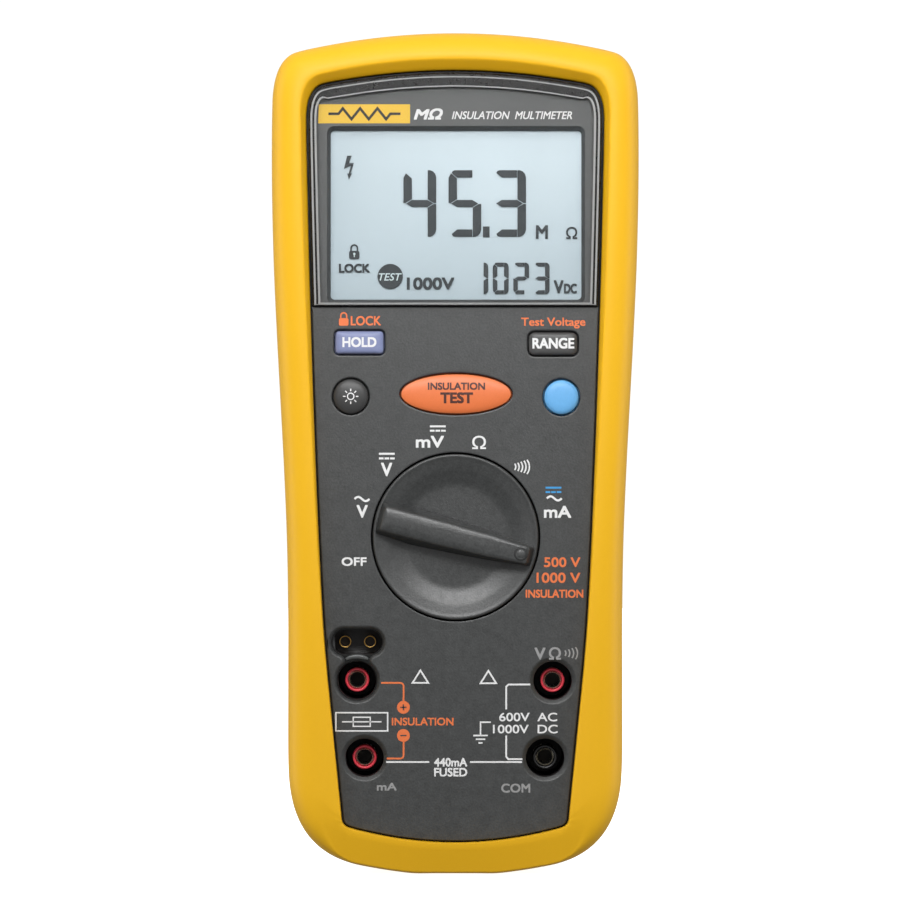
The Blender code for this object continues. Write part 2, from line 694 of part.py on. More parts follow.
def make_jacks(finish):
    """Four shrouded jacks, each a cup, a coloured ring and a contact tube, and the probe socket."""
    for name, centre in JACKS.items():
        cup = [
            (SHROUD_RADIUS, FACE_Y),
            (SHROUD_RADIUS, SHROUD_END_Y),
            (1.4, SHROUD_END_Y),
            (1.4, SHROUD_END_Y - 1.4),
            (WELL_RADIUS, SHROUD_END_Y - 1.4),
            (WELL_RADIUS, FACE_Y + 0.4),
            (WELL_RADIUS + 0.3, FACE_Y),
        ]
        Shape().turned(centre, cup, 20, closed=True).place("jack_shroud_" + name, finish["black_plastic"])
        ring = [(POST_BORE, POST_FRONT_Y), (POST_RADIUS, POST_FRONT_Y), (POST_RADIUS, -10.0),
                (POST_BORE, -10.0)]
        colour = "black_plastic" if name == "common" else "ring_red"
        Shape().turned(centre, ring, 16, closed=True).place("jack_ring_" + name, finish[colour])
        tube = [(POST_BORE, -9.7), (POST_RADIUS, -9.7), (POST_RADIUS, SHROUD_END_Y - 1.7),
                (POST_BORE, SHROUD_END_Y - 1.7)]
        Shape().turned(centre, tube, 16, closed=True).place("jack_contact_" + name, finish["brass"])
    half_width, half_height = SOCKET_HALF
    outside = rounded(SOCKET_CENTRE, half_width + 0.4, half_height + 0.4, half_height + 0.3, 6)
    item = Shape().prism(outside, FACE_Y, -11.5).place("probe_socket", finish["black_plastic"])
    inside = rounded(SOCKET_CENTRE, half_width, half_height, half_height - 0.1, 6)
    combine(item, Shape().prism(inside, FACE_Y - 1.0, -13.0).tool("socket_inside"), "DIFFERENCE")
    for name, side in (("left", -1), ("right", 1)):
        middle = (SOCKET_CENTRE[0] + side * PROBE_PIN_HALF_PITCH, SOCKET_CENTRE[1])
        ring = [(0.9, -16.6), (1.7, -16.6), (1.7, -13.3), (0.9, -13.3)]
        Shape().turned(middle, ring, 16, closed=True).place("probe_contact_" + name, finish["brass"])


def make_power(finish):
    """Four cells side by side in the tray, their contacts, the door and its two turn locks."""
    middle_x = [BATTERY_PITCH * (step - 1.5) for step in range(4)]
    for number, x in enumerate(middle_x, start=1):
        up = number % 2
        heights = (0.0, 0.4, 48.8, 49.2, 49.2, BATTERY_LENGTH)
        radii = (6.7, BATTERY_RADIUS, BATTERY_RADIUS, 6.7, 2.7, 2.7)
        rings = []
        for height, radius in zip(heights, radii):
            z = BATTERY_FOOT_Z + (height if up else BATTERY_LENGTH - height)
            rings.append([(px, py, z) for px, py in circle((x, BATTERY_Y), radius, 20)])
        Shape().loft(rings).place(f"battery_{number}", finish["battery_black"])
    high_z = BATTERY_FOOT_Z + BATTERY_LENGTH
    Shape().block((-28.0, 6.0, BATTERY_FOOT_Z - 1.0), (28.0, 17.0, BATTERY_FOOT_Z - 0.3)).place(
        "battery_contact_lower", finish["spring_steel"])
    Shape().block((-28.0, 6.0, high_z + 0.3), (28.0, 17.0, high_z + 1.0)).place(
        "battery_contact_upper", finish["spring_steel"])
    middle_z = (TRAY_LOW_Z + TRAY_HIGH_Z) / 2
    half_z = (TRAY_HIGH_Z - TRAY_LOW_Z) / 2 - 0.4
    door = Shape().loft([
        at_depth(rounded((0.0, middle_z), TRAY_HALF - 0.4, half_z, 1.0, 2), REAR_INSIDE_Y),
        at_depth(rounded((0.0, middle_z), TRAY_HALF - 0.4, half_z, 1.0, 2), REAR_Y - 0.4),
        at_depth(rounded((0.0, middle_z), TRAY_HALF - 0.8, half_z - 0.4, 1.0, 2), REAR_Y),
    ])
    item = door.place("battery_door", finish["case_grey"])
    holes = Shape()
    for side in (-1, 1):
        profile = [(2.1, REAR_INSIDE_Y - 1.0), (2.1, 20.4), (4.3, 20.4), (4.3, REAR_Y + 1.0)]
        holes.turned((side * LOCK_X, LOCK_Z), profile, 20)
    combine(item, holes.tool("door_lock_holes"), "DIFFERENCE")
    for name, side in (("left", -1), ("right", 1)):
        centre = (side * LOCK_X, LOCK_Z)
        origin = (centre[0], REAR_Y, centre[1])
        profile = [(1.8, 17.2), (1.8, 20.7), (4.0, 20.7), (4.0, REAR_Y - 0.1)]
        item = Shape().turned(centre, profile, 20).place("door_lock_" + name, finish["key_grey"], origin)
        x, z = centre
        tongue = Shape().block((x - 1.5, 17.4, z - 4.6), (x + 1.5, 18.8, z + 1.4))
        combine(item, tongue.tool("lock_tongue_" + name), "UNION")
        slot = Shape().block((x - 3.0, REAR_Y - 0.7, z - 0.6), (x + 3.0, REAR_Y + 1.0, z + 0.6))
        combine(item, slot.tool("lock_slot_" + name), "DIFFERENCE")


def make_screws(finish):
    """The four screws that close the case from behind."""
    for name, centre in SCREWS.items():
        profile = [(0.7, -10.5), (1.4, -9.5), (1.4, 17.3), (2.5, 17.3), (2.5, 19.0)]
        Shape().turned(centre, profile, 14).place("case_screw_" + name, finish["spring_steel"])


def make_circuit(finish):
    """The fuse in its clips, and the large components behind the board."""
    fuse_z = 101.0
    fuse_y = 0.0
    rings = []
    for x, radius in ((-17.5, 4.9), (-17.2, 5.15), (-11.0, 5.15), (-10.9, 4.95), (10.9, 4.95),
                      (11.0, 5.15), (17.2, 5.15), (17.5, 4.9)):
        rings.append([(x, y, z) for y, z in circle((fuse_y, fuse_z), radius, 20)])
    Shape().loft(rings).place("fuse", finish["fuse_ceramic"])
    behind = BOARD_BACK_Y + 0.3
    for name, side in (("left", -1), ("right", 1)):
        near, far = sorted((side * 12.2, side * 16.6))
        item = Shape().block((near, behind, fuse_z - 6.4), (far, 3.4, fuse_z + 6.4)).place(
            "fuse_clip_" + name, finish["spring_steel"])
        rings = []
        for x in (near - 1.0, far + 1.0):
            groove = circle((fuse_y, fuse_z), 5.45, 20)
            rings.append([(x, y, z) for y, z in groove])
        combine(item, Shape().loft(rings).tool("clip_groove_" + name), "DIFFERENCE")
        mouth = Shape().block((near - 1.0, 2.0, fuse_z - 4.8), (far + 1.0, 5.0, fuse_z + 4.8))
        combine(item, mouth.tool("clip_mouth_" + name), "DIFFERENCE")
    Shape().block((-29.0, behind, 138.0), (-5.0, 9.5, 160.0)).place(
        "step_up_transformer", finish["core_ferrite"])
    Shape().block((4.0, behind, 138.0), (28.0, 6.5, 152.0)).place("range_relay", finish["relay_blue"])
    sounder = [(9.0, behind), (9.0, -1.4), (8.2, -0.8), (1.6, -0.8), (1.6, -1.6)]
    Shape().turned((14.0, 172.0), sounder, 24).place("sounder", finish["black_plastic"])
    Shape().block((-22.0, REAR_Y - 0.3, 96.0), (22.0, REAR_Y - 0.1, 112.0)).place(
        "rating_label", finish["label_silver"])


def main():
    clear_scene()
    finish = make_materials()
    make_holster(finish)
    make_stand(finish)
    make_front_case(finish)
    make_rear_case(finish)
    make_seal(finish)
    make_display(finish)
    make_board(finish)
    make_keys(finish)
    make_knob(finish)
    make_jacks(finish)
    make_power(finish)
    make_screws(finish)
    make_circuit(finish)


main()
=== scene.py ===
"""The looks of a hand-held insulation tester: its rubbery holster, grey face, display, keys, rotary
switch, jacks, tilting stand and battery door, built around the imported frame.

Lengths are in millimetres until a mesh is made, and places come from the frame's own nodes. The
front faces -Y, +X is to the right seen from the front, and +Z runs up its length.
"""
import math

import bmesh
import bpy
import numpy as np
from bpy.props import FloatProperty, FloatVectorProperty, IntProperty, PointerProperty
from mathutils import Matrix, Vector
from mathutils.geometry import tessellate_polygon


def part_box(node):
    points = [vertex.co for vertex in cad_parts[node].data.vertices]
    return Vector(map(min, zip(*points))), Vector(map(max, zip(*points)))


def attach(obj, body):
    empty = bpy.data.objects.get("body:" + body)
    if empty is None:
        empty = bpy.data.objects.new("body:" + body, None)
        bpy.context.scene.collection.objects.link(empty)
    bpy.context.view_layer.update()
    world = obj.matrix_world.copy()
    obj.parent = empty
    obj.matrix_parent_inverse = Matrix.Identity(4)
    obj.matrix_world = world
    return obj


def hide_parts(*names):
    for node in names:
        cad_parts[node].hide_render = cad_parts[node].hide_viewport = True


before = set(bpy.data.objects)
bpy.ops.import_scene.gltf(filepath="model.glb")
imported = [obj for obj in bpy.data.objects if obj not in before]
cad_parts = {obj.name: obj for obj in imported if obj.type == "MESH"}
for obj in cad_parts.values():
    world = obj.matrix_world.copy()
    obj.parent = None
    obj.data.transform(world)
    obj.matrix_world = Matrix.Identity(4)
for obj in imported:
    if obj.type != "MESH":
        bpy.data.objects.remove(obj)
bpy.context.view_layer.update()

bl_info = {
    "name": "Insulation Tester",
    "version": (1, 0, 0),
    "blender": (4, 5, 0),
    "location": "3D View > Sidebar > Tester",
    "description": "Builds the visible pieces of a hand-held insulation tester around its frame",
    "category": "Add Mesh",
}

MM = 0.001


def low_high(node):
    """A node's lowest and highest corner, in millimetres."""
    low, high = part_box(node)
    return np.array(low) / MM, np.array(high) / MM


def flat_box(node):
    """A node seen from the front: its middle and its half sizes, each (x, z), in millimetres."""
    low, high = low_high(node)
    return ((low + high) / 2)[[0, 2]], ((high - low) / 2)[[0, 2]]


def middle(node):
    """The middle of a node seen from the front: (x, z), in millimetres."""
    return flat_box(node)[0]


HOLSTER_HIGH = low_high("holster")[1]
FACE_Y = low_high("front_case")[0][1]
LENS_LOW = low_high("display_lens")[0]
MASK_LOW, MASK_HIGH = low_high("display_mask")
LCD_LOW, LCD_HIGH = low_high("lcd_panel")
LCD = middle("lcd_panel")
KNOB, (KNOB_RADIUS, _) = flat_box("rotary_knob")
KNOB_TOP = low_high("rotary_knob")[0][1]
JACKS = {name: middle("jack_shroud_" + name) for name in ("plus", "volt", "current", "common")}
SOCKET = middle("probe_socket")
KEYS = {name: middle("key_" + name) for name in ("hold", "range", "backlight", "test", "function")}
LOCKS = {"left": (-19.5, 28.2), "right": (19.5, 28.2)}  # the axes of the door's quarter-turn locks

FIT = 0.4             # the gap between the case and the holster
WINDOW_HALF_X, WINDOW_HALF_Z = 30.3, 20.4  # the mask's opening
FLAT_BAND = 0.2       # the flat border inside an eased rim
WELL_RADIUS = 4.62    # the inside of a jack's shroud
MOUTH_RADIUS = 5.55   # the hole in the face round a jack
AROUND = 496          # points round the holster


# ---------------------------------------------------------------------------- surfaces


class Surface:
    """Points in millimetres and faces, gathered from grids and fills, for one mesh."""

    def __init__(self):
        self.points = []
        self.faces = []
        self.count = 0

    def add(self, points, faces):
        """Take in points (n, 3) and faces that index them, and give the first one's number."""
        first = self.count
        self.points.append(np.asarray(points, float))
        self.faces.extend([[corner + first for corner in face] for face in faces])
        self.count += len(points)
        return first

    def grid(self, points, closed_rows=False, cap_first=False, cap_last=False):
        """Skin a grid (rows, columns, 3) whose columns close into rings; caps fill the end rings."""
        rows, columns = points.shape[:2]
        index = np.arange(rows * columns).reshape(rows, columns)
        here = index if closed_rows else index[:-1]
        down = np.roll(index, -1, 0) if closed_rows else index[1:]
        quads = np.stack([here, np.roll(here, -1, 1), np.roll(down, -1, 1), down], -1)
        faces = quads.reshape(-1, 4).tolist()
        if cap_first:
            faces.append(index[0].tolist())
        if cap_last:
            faces.append(index[-1].tolist())
        return self.add(points.reshape(-1, 3), faces)

    def turned(self, centre, profile, sides=64, closed=False):
        """Revolve a profile of (radius, y) about an axis in depth: x = cx + r cos a, z = cz + r sin a."""
        profile = np.asarray(profile, float)
        turn = np.linspace(0, 2 * math.pi, sides, endpoint=False)
        radius, depth = profile[:, :1], np.repeat(profile[:, 1:], sides, 1)
        rings = np.stack([centre[0] + radius * np.cos(turn), depth, centre[1] + radius * np.sin(turn)], -1)
        return self.grid(rings, closed, not closed, not closed)

    def plate(self, loops):
        """A flat plate: each loop is a rim of rings (n, 3) from its front face to its back one.

        The first loop is the plate's own edge and the others are holes. Triangles fill between
        the first rings, and between the last ones. A narrow flat band borders every front rim, so
        that an eased edge's shading doesn't spread over the wide triangles.
        """
        fronts, backs = [], []
        for number, rings in enumerate(loops):
            band = shrunk(rings[0][:, [0, 2]], -FLAT_BAND if number else FLAT_BAND)
            rings = np.concatenate([stand(band, rings[0][:, 1])[None], rings])
            first = self.grid(rings)
            fronts.append((first, rings[0]))
            backs.append((first + (len(rings) - 1) * len(rings[0]), rings[-1]))
        for side in (fronts, backs):
            number = np.concatenate([np.arange(first, first + len(ring)) for first, ring in side])
            flat = [[Vector((x, z, 0.0)) for x, _y, z in ring] for _first, ring in side]
            self.faces.extend(number[np.array(tessellate_polygon(flat))].tolist())

    def piece(self, name, finish, body, replaces=(), slot=None, sharp=38.0):
        """Make the mesh, point its faces outwards, and let it ride on a body of the frame."""
        points = np.concatenate(self.points) * MM
        mesh = bpy.data.meshes.new(name)
        mesh.from_pydata(points, [], self.faces)
        work = bmesh.new()
        work.from_mesh(mesh)
        bmesh.ops.recalc_face_normals(work, faces=work.faces)
        work.to_mesh(mesh)
        work.free()
        mesh.shade_smooth()
        mesh.set_sharp_from_angle(angle=math.radians(sharp))
        mesh.materials.append(finish)
        item = bpy.data.objects.new(name, mesh)
        bpy.context.scene.collection.objects.link(item)
        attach(item, body)
        if replaces:
            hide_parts(*replaces)
        return item


def stand(outline, y):
    """Stand an outline of (x, z) up at one depth, or at a depth for each point."""
    return np.stack([outline[:, 0], np.broadcast_to(y, len(outline)), outline[:, 1]], -1)


def inward(outline):
    """The unit vectors that point into a counter-clockwise outline, square to it."""
    along = np.roll(outline, -1, 0) - np.roll(outline, 1, 0)
    across = np.stack([-along[:, 1], along[:, 0]], -1)
    return across / np.linalg.norm(across, axis=1, keepdims=True)


def shrunk(outline, inset):
    """An outline moved inwards by a distance, or by one distance for each point."""
    return outline + inward(outline) * np.reshape(inset, (-1, 1))


def rim(outline, steps):
    """A plate's rim: the outline moved inwards by each step's inset, at that step's depth."""
    return np.stack([stand(shrunk(outline, inset), y) for inset, y in steps])


def flowing(points, count):
    """A closed smooth curve: each span is the cubic that meets its ends with their slopes, and a
    point's slope is the mean of its two chords' slopes, the shorter chord weighing more, over
    spans timed by the square root of their chords. Works on rows of any width."""
    points = np.asarray(points, float).reshape(len(points), -1)
    chord = np.roll(points, -1, 0) - points
    time = np.maximum(np.linalg.norm(chord, axis=1, keepdims=True), 1e-6) ** 0.5
    rate, early = chord / time, np.roll(time, 1, 0)
    slope = (rate * early + np.roll(rate, 1, 0) * time) / (time + early)
    place = np.arange(count) * len(points) / count
    span = place.astype(int)
    after = (span + 1) % len(points)
    t = (place - span)[:, None]
    rise = t * t * (3 - 2 * t)
    lead, trail = t * (1 - t) ** 2, -t * t * (1 - t)
    reach = time[span]
    return (points[span] * (1 - rise) + points[after] * rise
            + (slope[span] * lead + slope[after] * trail) * reach)


def spread(path, count, closed=False):
    """The path's points spaced evenly along its length."""
    path = np.asarray(path, float)
    if closed:
        path = np.concatenate([path, path[:1]])
    length = np.concatenate([[0], np.cumsum(np.linalg.norm(np.diff(path, axis=0), axis=1))])
    place = np.linspace(0, length[-1], count, endpoint=not closed)
    return np.stack([np.interp(place, length, path[:, axis]) for axis in range(path.shape[1])], -1)


def smooth_step(value):
    """Rise from 0 to 1 as 3v^2 - 2v^3, level at both ends."""
    value = np.clip(value, 0, 1)
    return value * value * (3 - 2 * value)


def soften(profile, count):
    """A profile with its bends eased: an open Catmull-Rom curve through its points."""
    profile = np.asarray(profile, float)
    place = np.linspace(0, len(profile) - 1 - 1e-9, count)
    span = place.astype(int)
    t = (place - span)[:, None]
    last = len(profile) - 1
    before, start, end, after = (profile[np.clip(span + step, 0, last)] for step in (-1, 0, 1, 2))
    bend = 2 * before - 5 * start + 4 * end - after
    twist = 3 * start - before - 3 * end + after
    return 0.5 * (2 * start + (end - before) * t + bend * t**2 + twist * t**3)


def ring(centre, radius_x, radius_z=None, sides=64):
    """An ellipse: x = cx + a cos t, z = cz + b sin t."""
    turn = np.linspace(0, 2 * math.pi, sides, endpoint=False)
    radius_z = radius_x if radius_z is None else radius_z
    return np.stack([centre[0] + radius_x * np.cos(turn), centre[1] + radius_z * np.sin(turn)], -1)


def rounded(corners, radii, steps=8):
    """A polygon whose corners are arcs tangent to both sides: each arc's centre lies on the
    corner's bisector, at its radius over the sine of half the angle."""
    corners = np.asarray(corners, float)
    points = []
    for place, corner in enumerate(corners):
        radius = radii[place] if hasattr(radii, "__len__") else radii
        before = corners[place - 1] - corner
        after = corners[(place + 1) % len(corners)] - corner
        before, after = before / np.linalg.norm(before), after / np.linalg.norm(after)
        bisector = (before + after) / np.linalg.norm(before + after)
        half = math.acos(np.clip(before @ bisector, -1, 1))
        centre = corner + bisector * radius / math.sin(half)
        start = corner + before * radius / math.tan(half) - centre
        end = corner + after * radius / math.tan(half) - centre
        first = math.atan2(start[1], start[0])
        sweep = (math.atan2(end[1], end[0]) - first + math.pi) % (2 * math.pi) - math.pi
        turn = first + sweep * np.linspace(0, 1, steps + 1)
        points.append(centre + radius * np.stack([np.cos(turn), np.sin(turn)], -1))
    return np.concatenate(points)


def round_box(centre, half_x, half_z, radius, steps=8):
    """A rectangle with round corners."""
    x, z = centre
    corners = [(x + half_x, z + half_z), (x - half_x, z + half_z), (x - half_x, z - half_z),
               (x + half_x, z - half_z)]
    return rounded(corners, radius, steps)


def bend(start, pull, end, steps):
    """The inner points of a curve from start to end that leans towards pull: the weights of the
    three are (1-t)^2, 2t(1-t) and t^2."""
    t = (np.arange(1, steps) / steps)[:, None]
    start, pull, end = (np.array(point, float) for point in (start, pull, end))
    return (1 - t) ** 2 * start + 2 * t * (1 - t) * pull + t * t * end


def both_sides(right):
    """Mirror an outline's right half, given from its foot to its crown."""
    return np.concatenate([right, right[-2:0:-1] * (-1, 1)])


def both_sides_of(stations):
    """Repeat the right half's stations on the left, as both_sides does with an outline."""
    return np.concatenate([stations, stations[-2:0:-1]])


# ---------------------------------------------------------------------------- outlines


def side_half(z):
    """The silhouette's half width at a height: it swells smoothly towards the top."""
    return 40.4 + 3.95 * smooth_step((np.asarray(z, float) - 62) / 108)


def window_half(z):
    """The front opening's half width at a height: a slow parabola that narrows at the foot."""
    share = (np.asarray(z, float) - 100) / 100
    pinch = 0.55 * smooth_step((52 - np.asarray(z)) / 40) + 1.35 * np.exp(-((share * 100 + 85) / 30) ** 2)
    return 33.72 + 3.9 * share - 1.4 * share**2 - pinch


def silhouette(inset=0.0):
    """The holster seen from the front: arcs at foot and crown, joined by bent corners."""
    length = HOLSTER_HIGH[2]
    radius = 110.0 - inset
    flat = 0.45
    edge = math.sqrt(radius**2 - (radius - flat) ** 2)
    x = np.array([0.0, edge / 2, edge, 14.5, 19.5, 25.0 - inset / 3])
    foot = np.stack([x, inset + np.maximum(0, radius - np.sqrt(radius**2 - x * x) - flat)], -1)
    low = (side_half(25.0) - 0.1 - inset, 25.0)
    corner = bend(foot[-1], (39.8 - inset, 6.4 + 0.8 * inset), low, 7)
    z = np.array([25.0, 45, 62, 80, 98, 114, 130, 148, 168])
    side = np.stack([side_half(z) - inset, z], -1)
    side[0] = low
    high = np.array([side_half(185.0) - 0.1 - inset, 185.0 - 0.4 * inset])
    radius = 164.0 - inset
    x = (37.5 - 1.1 * inset) * np.array([1, 0.75, 0.5, 0.25, 0])
    crown = np.stack([x, length - inset - radius + np.sqrt(radius**2 - x * x)], -1)
    shoulder = bend(high, (44.2 - inset, 197.4 - inset), crown[0], 6)
    return both_sides(np.concatenate([foot, corner, side, high[None], shoulder, crown]))


def window():
    """The holster's front opening, with as many points as the silhouette."""
    x = np.array([0.0, 5, 10, 15, 20.5, 25.7])
    foot = np.stack([x, 7.6 + 93 - np.sqrt(93**2 - x * x)], -1)
    low = (window_half(13.8), 13.8)
    corner = bend(foot[-1], (27.4, 11.9), low, 7)
    z = np.array([13.8, 36, 57, 77, 96, 114, 130, 148, 166])
    side = np.stack([window_half(z), z], -1)
    high = np.array([window_half(181.0), 181.0])
    x = np.array([32.0, 25, 17, 8.5, 0])
    crown = np.stack([x, 193.9 - 158 + np.sqrt(158**2 - x * x)], -1)
    shoulder = bend(high, (36.2, 189.4), crown[0], 6)
    return both_sides(np.concatenate([foot, corner, side, high[None], shoulder, crown]))


def back_window():
    """The holster's opening at the back, with as many points as the silhouette."""
    low_z, high_z, half = 12.9, 122.5, 35.0
    foot = np.stack([6.2 * np.arange(6), np.full(6, low_z)], -1)
    low = (half, 17.0)
    corner = bend(foot[-1], (half, low_z), low, 7)
    side = np.stack([np.full(9, half), 17 + 11.5 * np.arange(9)], -1)
    high = np.array([half, 117.0])
    crown = np.stack([[29.5, 22, 15, 7.5, 0], np.full(5, high_z)], -1)
    shoulder = bend(high, (half, high_z), crown[0], 6)
    return both_sides(np.concatenate([foot, corner, side, high[None], shoulder, crown]))


def lens_ring(side, top, foot):
    """The display window's outline: the opening drawn in by side at its flanks and by top at its
    crown, and cut off straight a little above the window's foot."""
    opening = flowing(window(), 900)
    into = inward(opening)
    lift = np.clip(-into[:, 1], 0, 1) ** 2
    drawn = opening + into * (side + (top - side) * lift)[:, None]
    foot_z = LENS_LOW[2] + foot
    above = drawn[drawn[:, 1] > foot_z]
    half = abs(above[0, 0])
    over = spread(np.concatenate([[[half, foot_z]], above, [[-half, foot_z]]]), 260)
    across = np.linspace(-half, half, 82)[1:-1]
    return np.concatenate([over, np.stack([across, np.full(80, foot_z)], -1)])


# ---------------------------------------------------------------------------- print


class Print:
    """Thin raised print of one ink: words, shapes and lines, lying on a face or a domed key."""

    def __init__(self, level, lift=0.035):
        self.surface = Surface()
        self.level = level
        self.lift = lift

    def lay(self, flat, front):
        """Give flat points (x, z) their depth: on the level, raised by the lift where front is set."""
        level = self.level(flat[:, 0], flat[:, 1]) if callable(self.level) else self.level
        return stand(flat, level + np.where(front, -self.lift, 0.1))

    def shape(self, outline):
        """Fill an outline of (x, z): a front face, a back one and a wall between them."""
        outline = np.asarray(outline, float)
        size = len(outline)
        both = np.concatenate([outline, outline])
        points = self.lay(both, np.arange(2 * size) < size)
        here = np.arange(size)
        after = np.roll(here, -1)
        walls = np.stack([here, after, after + size, here + size], -1).tolist()
        self.surface.add(points, [*walls, here.tolist(), (here + size).tolist()])

    def line(self, path, width, closed=False):
        """A ribbon along a path: its two edges lie half the width to each side, mitred."""
        path = np.asarray(path, float)
        step = np.roll(path, -1, 0) - path
        step /= np.linalg.norm(step, axis=1, keepdims=True)
        along = step + np.roll(step, 1, 0)
        if not closed:
            along[0], along[-1] = 2 * step[0], 2 * step[-2]
        along *= 2 / np.maximum((along**2).sum(1, keepdims=True), 0.7)
        across = np.stack([-along[:, 1], along[:, 0]], -1)
        left, right = path + across * width / 2, path - across * width / 2
        if not closed:
            self.shape(np.concatenate([left, right[::-1]]))
            return
        size = len(path)
        flat = np.concatenate([left, right, left, right])
        points = self.lay(flat, np.arange(4 * size) < 2 * size)
        rows = points.reshape(4, size, 3)[[0, 1, 3, 2]]
        self.surface.grid(rows, closed_rows=True)

    def word(self, text, box, anchor=(0.0, 0.0), bold=0.0, lean=0.0):
        """Write a word in the built-in face, stretched to fill a box (left, low, right, high).

        A bold word is laid four times, half the extra stroke to each corner, each a hair higher."""
        curve = bpy.data.curves.new("word", "FONT")
        curve.body = text
        curve.shear = lean
        curve.extrude = 0.05
        curve.resolution_u = 4
        holder = bpy.data.objects.new("word", curve)
        mesh = bpy.data.meshes.new_from_object(holder)
        count = len(mesh.vertices)
        if not count:
            raise RuntimeError(f"the built-in face has no shape for {text}")
        place = np.empty(count * 3)
        mesh.vertices.foreach_get("co", place)
        place = place.reshape(-1, 3)
        low, high = place.min(0), place.max(0)
        share = (place[:, :2] - low[:2]) / (high - low)[:2]
        left, bottom, right, top = np.array(box) + (bold / 2, bold / 2, -bold / 2, -bold / 2)
        flat = np.stack([left + share[:, 0] * (right - left), bottom + share[:, 1] * (top - bottom)], -1)
        faces = [list(face.vertices) for face in mesh.polygons]
        corners = ((-1, -1), (1, 1), (-1, 1), (1, -1)) if bold else ((0, 0),)
        for number, corner in enumerate(corners):
            points = self.lay(flat + anchor + np.array(corner) * bold / 2, place[:, 2] > 0)
            points[:, 1] -= 0.003 * number * (place[:, 2] > 0)
            self.surface.add(points, faces)
        bpy.data.objects.remove(holder)
        bpy.data.meshes.remove(mesh)
        bpy.data.curves.remove(curve)

    def piece(self, name, finish, body, **more):
        """Make the print's mesh."""
        return self.surface.piece(name, finish, body, **more)


def arc(centre, radius, start, end, steps=12):
    """Points on a circle between two angles in degrees."""
    turn = np.radians(np.linspace(start, end, steps + 1))
    return np.stack([centre[0] + radius * np.cos(turn), centre[1] + radius * np.sin(turn)], -1)


def wave(left, right, z, height, steps=16):
    """A tilde's path: one turn of a sine."""
    share = np.linspace(0, 1, steps + 1)
    return np.stack([left + share * (right - left), z + height * np.sin(2 * math.pi * share)], -1)


# ---------------------------------------------------------------------------- finishes


class Value:
    """A number inside a shader; Python's operators on it add Math nodes."""

    def __init__(self, finish, socket):
        self.finish = finish
        self.socket = socket

    def do(self, operation, *others, swap=False):
        """Add one Math node to this value and up to two others."""
        terms = [self, *others]
        if swap:
            terms.reverse()
        node = self.finish.node("ShaderNodeMath", {"operation": operation}, dict(enumerate(terms)))
        return Value(self.finish, node.outputs[0])

    def __add__(self, other):
        return self.do("ADD", other)

    def __sub__(self, other):
        return self.do("SUBTRACT", other)

    def __rsub__(self, other):
        return self.do("SUBTRACT", other, swap=True)

    def __mul__(self, other):
        return self.do("MULTIPLY", other)

    __radd__ = __add__
    __rmul__ = __mul__


class Finish:
    """A material on the Principled shader, whose pattern nodes read Object coordinates."""

    def __init__(self, name, colour, roughness, metallic=0.0, **constants):
        self.material = bpy.data.materials.new(name)
        self.material.use_nodes = True
        self.tree = self.material.node_tree
        self.shader = self.tree.nodes["Principled BSDF"]
        self.shader.inputs["Base Color"].default_value = (*colour, 1.0)
        self.shader.inputs["Roughness"].default_value = roughness
        self.shader.inputs["Metallic"].default_value = metallic
        for socket, value in constants.items():
            self.shader.inputs[socket.replace("_", " ")].default_value = value
        self.place = self.node("ShaderNodeTexCoord").outputs["Object"]

    def node(self, kind, settings=None, sockets=None):
        """Add a node: its settings are set first, then its sockets' values or links."""
        node = self.tree.nodes.new(kind)
        for name, value in (settings or {}).items():
            setattr(node, name, value)
        for name, value in (sockets or {}).items():
            target = node.inputs[name]
            if isinstance(value, Value):
                value = value.socket
            if isinstance(value, bpy.types.NodeSocket):
                self.tree.links.new(value, target)
            else:
                target.default_value = value
        return node

    def link(self, socket, value):
        """Feed one of the shader's own sockets."""
        source = value.socket if isinstance(value, Value) else value
        self.tree.links.new(source, self.shader.inputs[socket])

    def noise(self, size_mm, detail=2.0, stretch=None):
        """A noise from 0 to 1 whose blotches are about a size."""
        source = self.place
        if stretch:
            node = self.node("ShaderNodeMapping", {}, {"Vector": source, "Scale": stretch})
            source = node.outputs["Vector"]
        sockets = {"Vector": source, "Scale": 1.0 / (size_mm * MM), "Detail": detail}
        return Value(self, self.node("ShaderNodeTexNoise", {}, sockets).outputs["Fac"])

    def tint(self, share, low, high):
        """A colour between two colours."""
        sockets = {0: share, 6: (*low, 1.0), 7: (*high, 1.0)}
        return self.node("ShaderNodeMix", {"data_type": "RGBA"}, sockets).outputs[2]

    def bump(self, height, depth_mm):
        """Let a height from 0 to 1 stand for real relief."""
        sockets = {"Strength": 1.0, "Distance": depth_mm * MM, "Height": height}
        self.link("Normal", self.node("ShaderNodeBump", {}, sockets).outputs["Normal"])


def shade(colour, factor):
    """A colour made lighter or darker."""
    return tuple(min(part * factor, 1.0) for part in colour)


def moulded(name, colour, roughness, drift=0.06, speckle=0.12, grain_mm=0.28, relief_mm=0.012, **more):
    """Moulded plastic or rubber: slow drift of tone, fine speckle, and a grained skin."""
    finish = Finish(name, colour, roughness, **more)
    slow = finish.noise(26.0, 3.0)
    fine = finish.noise(grain_mm, 3.0)
    grit = finish.noise(grain_mm * 3.1, 2.0)
    share = (slow - 0.5) * (2 * drift) + (fine - 0.5) * (2 * speckle) + (grit - 0.5) * speckle + 0.5
    finish.link("Base Color", finish.tint(share, shade(colour, 0.5), shade(colour, 1.5)))
    finish.link("Roughness", (grit - 0.5) * 0.18 + (slow - 0.5) * 0.08 + roughness)
    finish.bump(fine * 0.7 + grit * 0.5, relief_mm)
    return finish.material


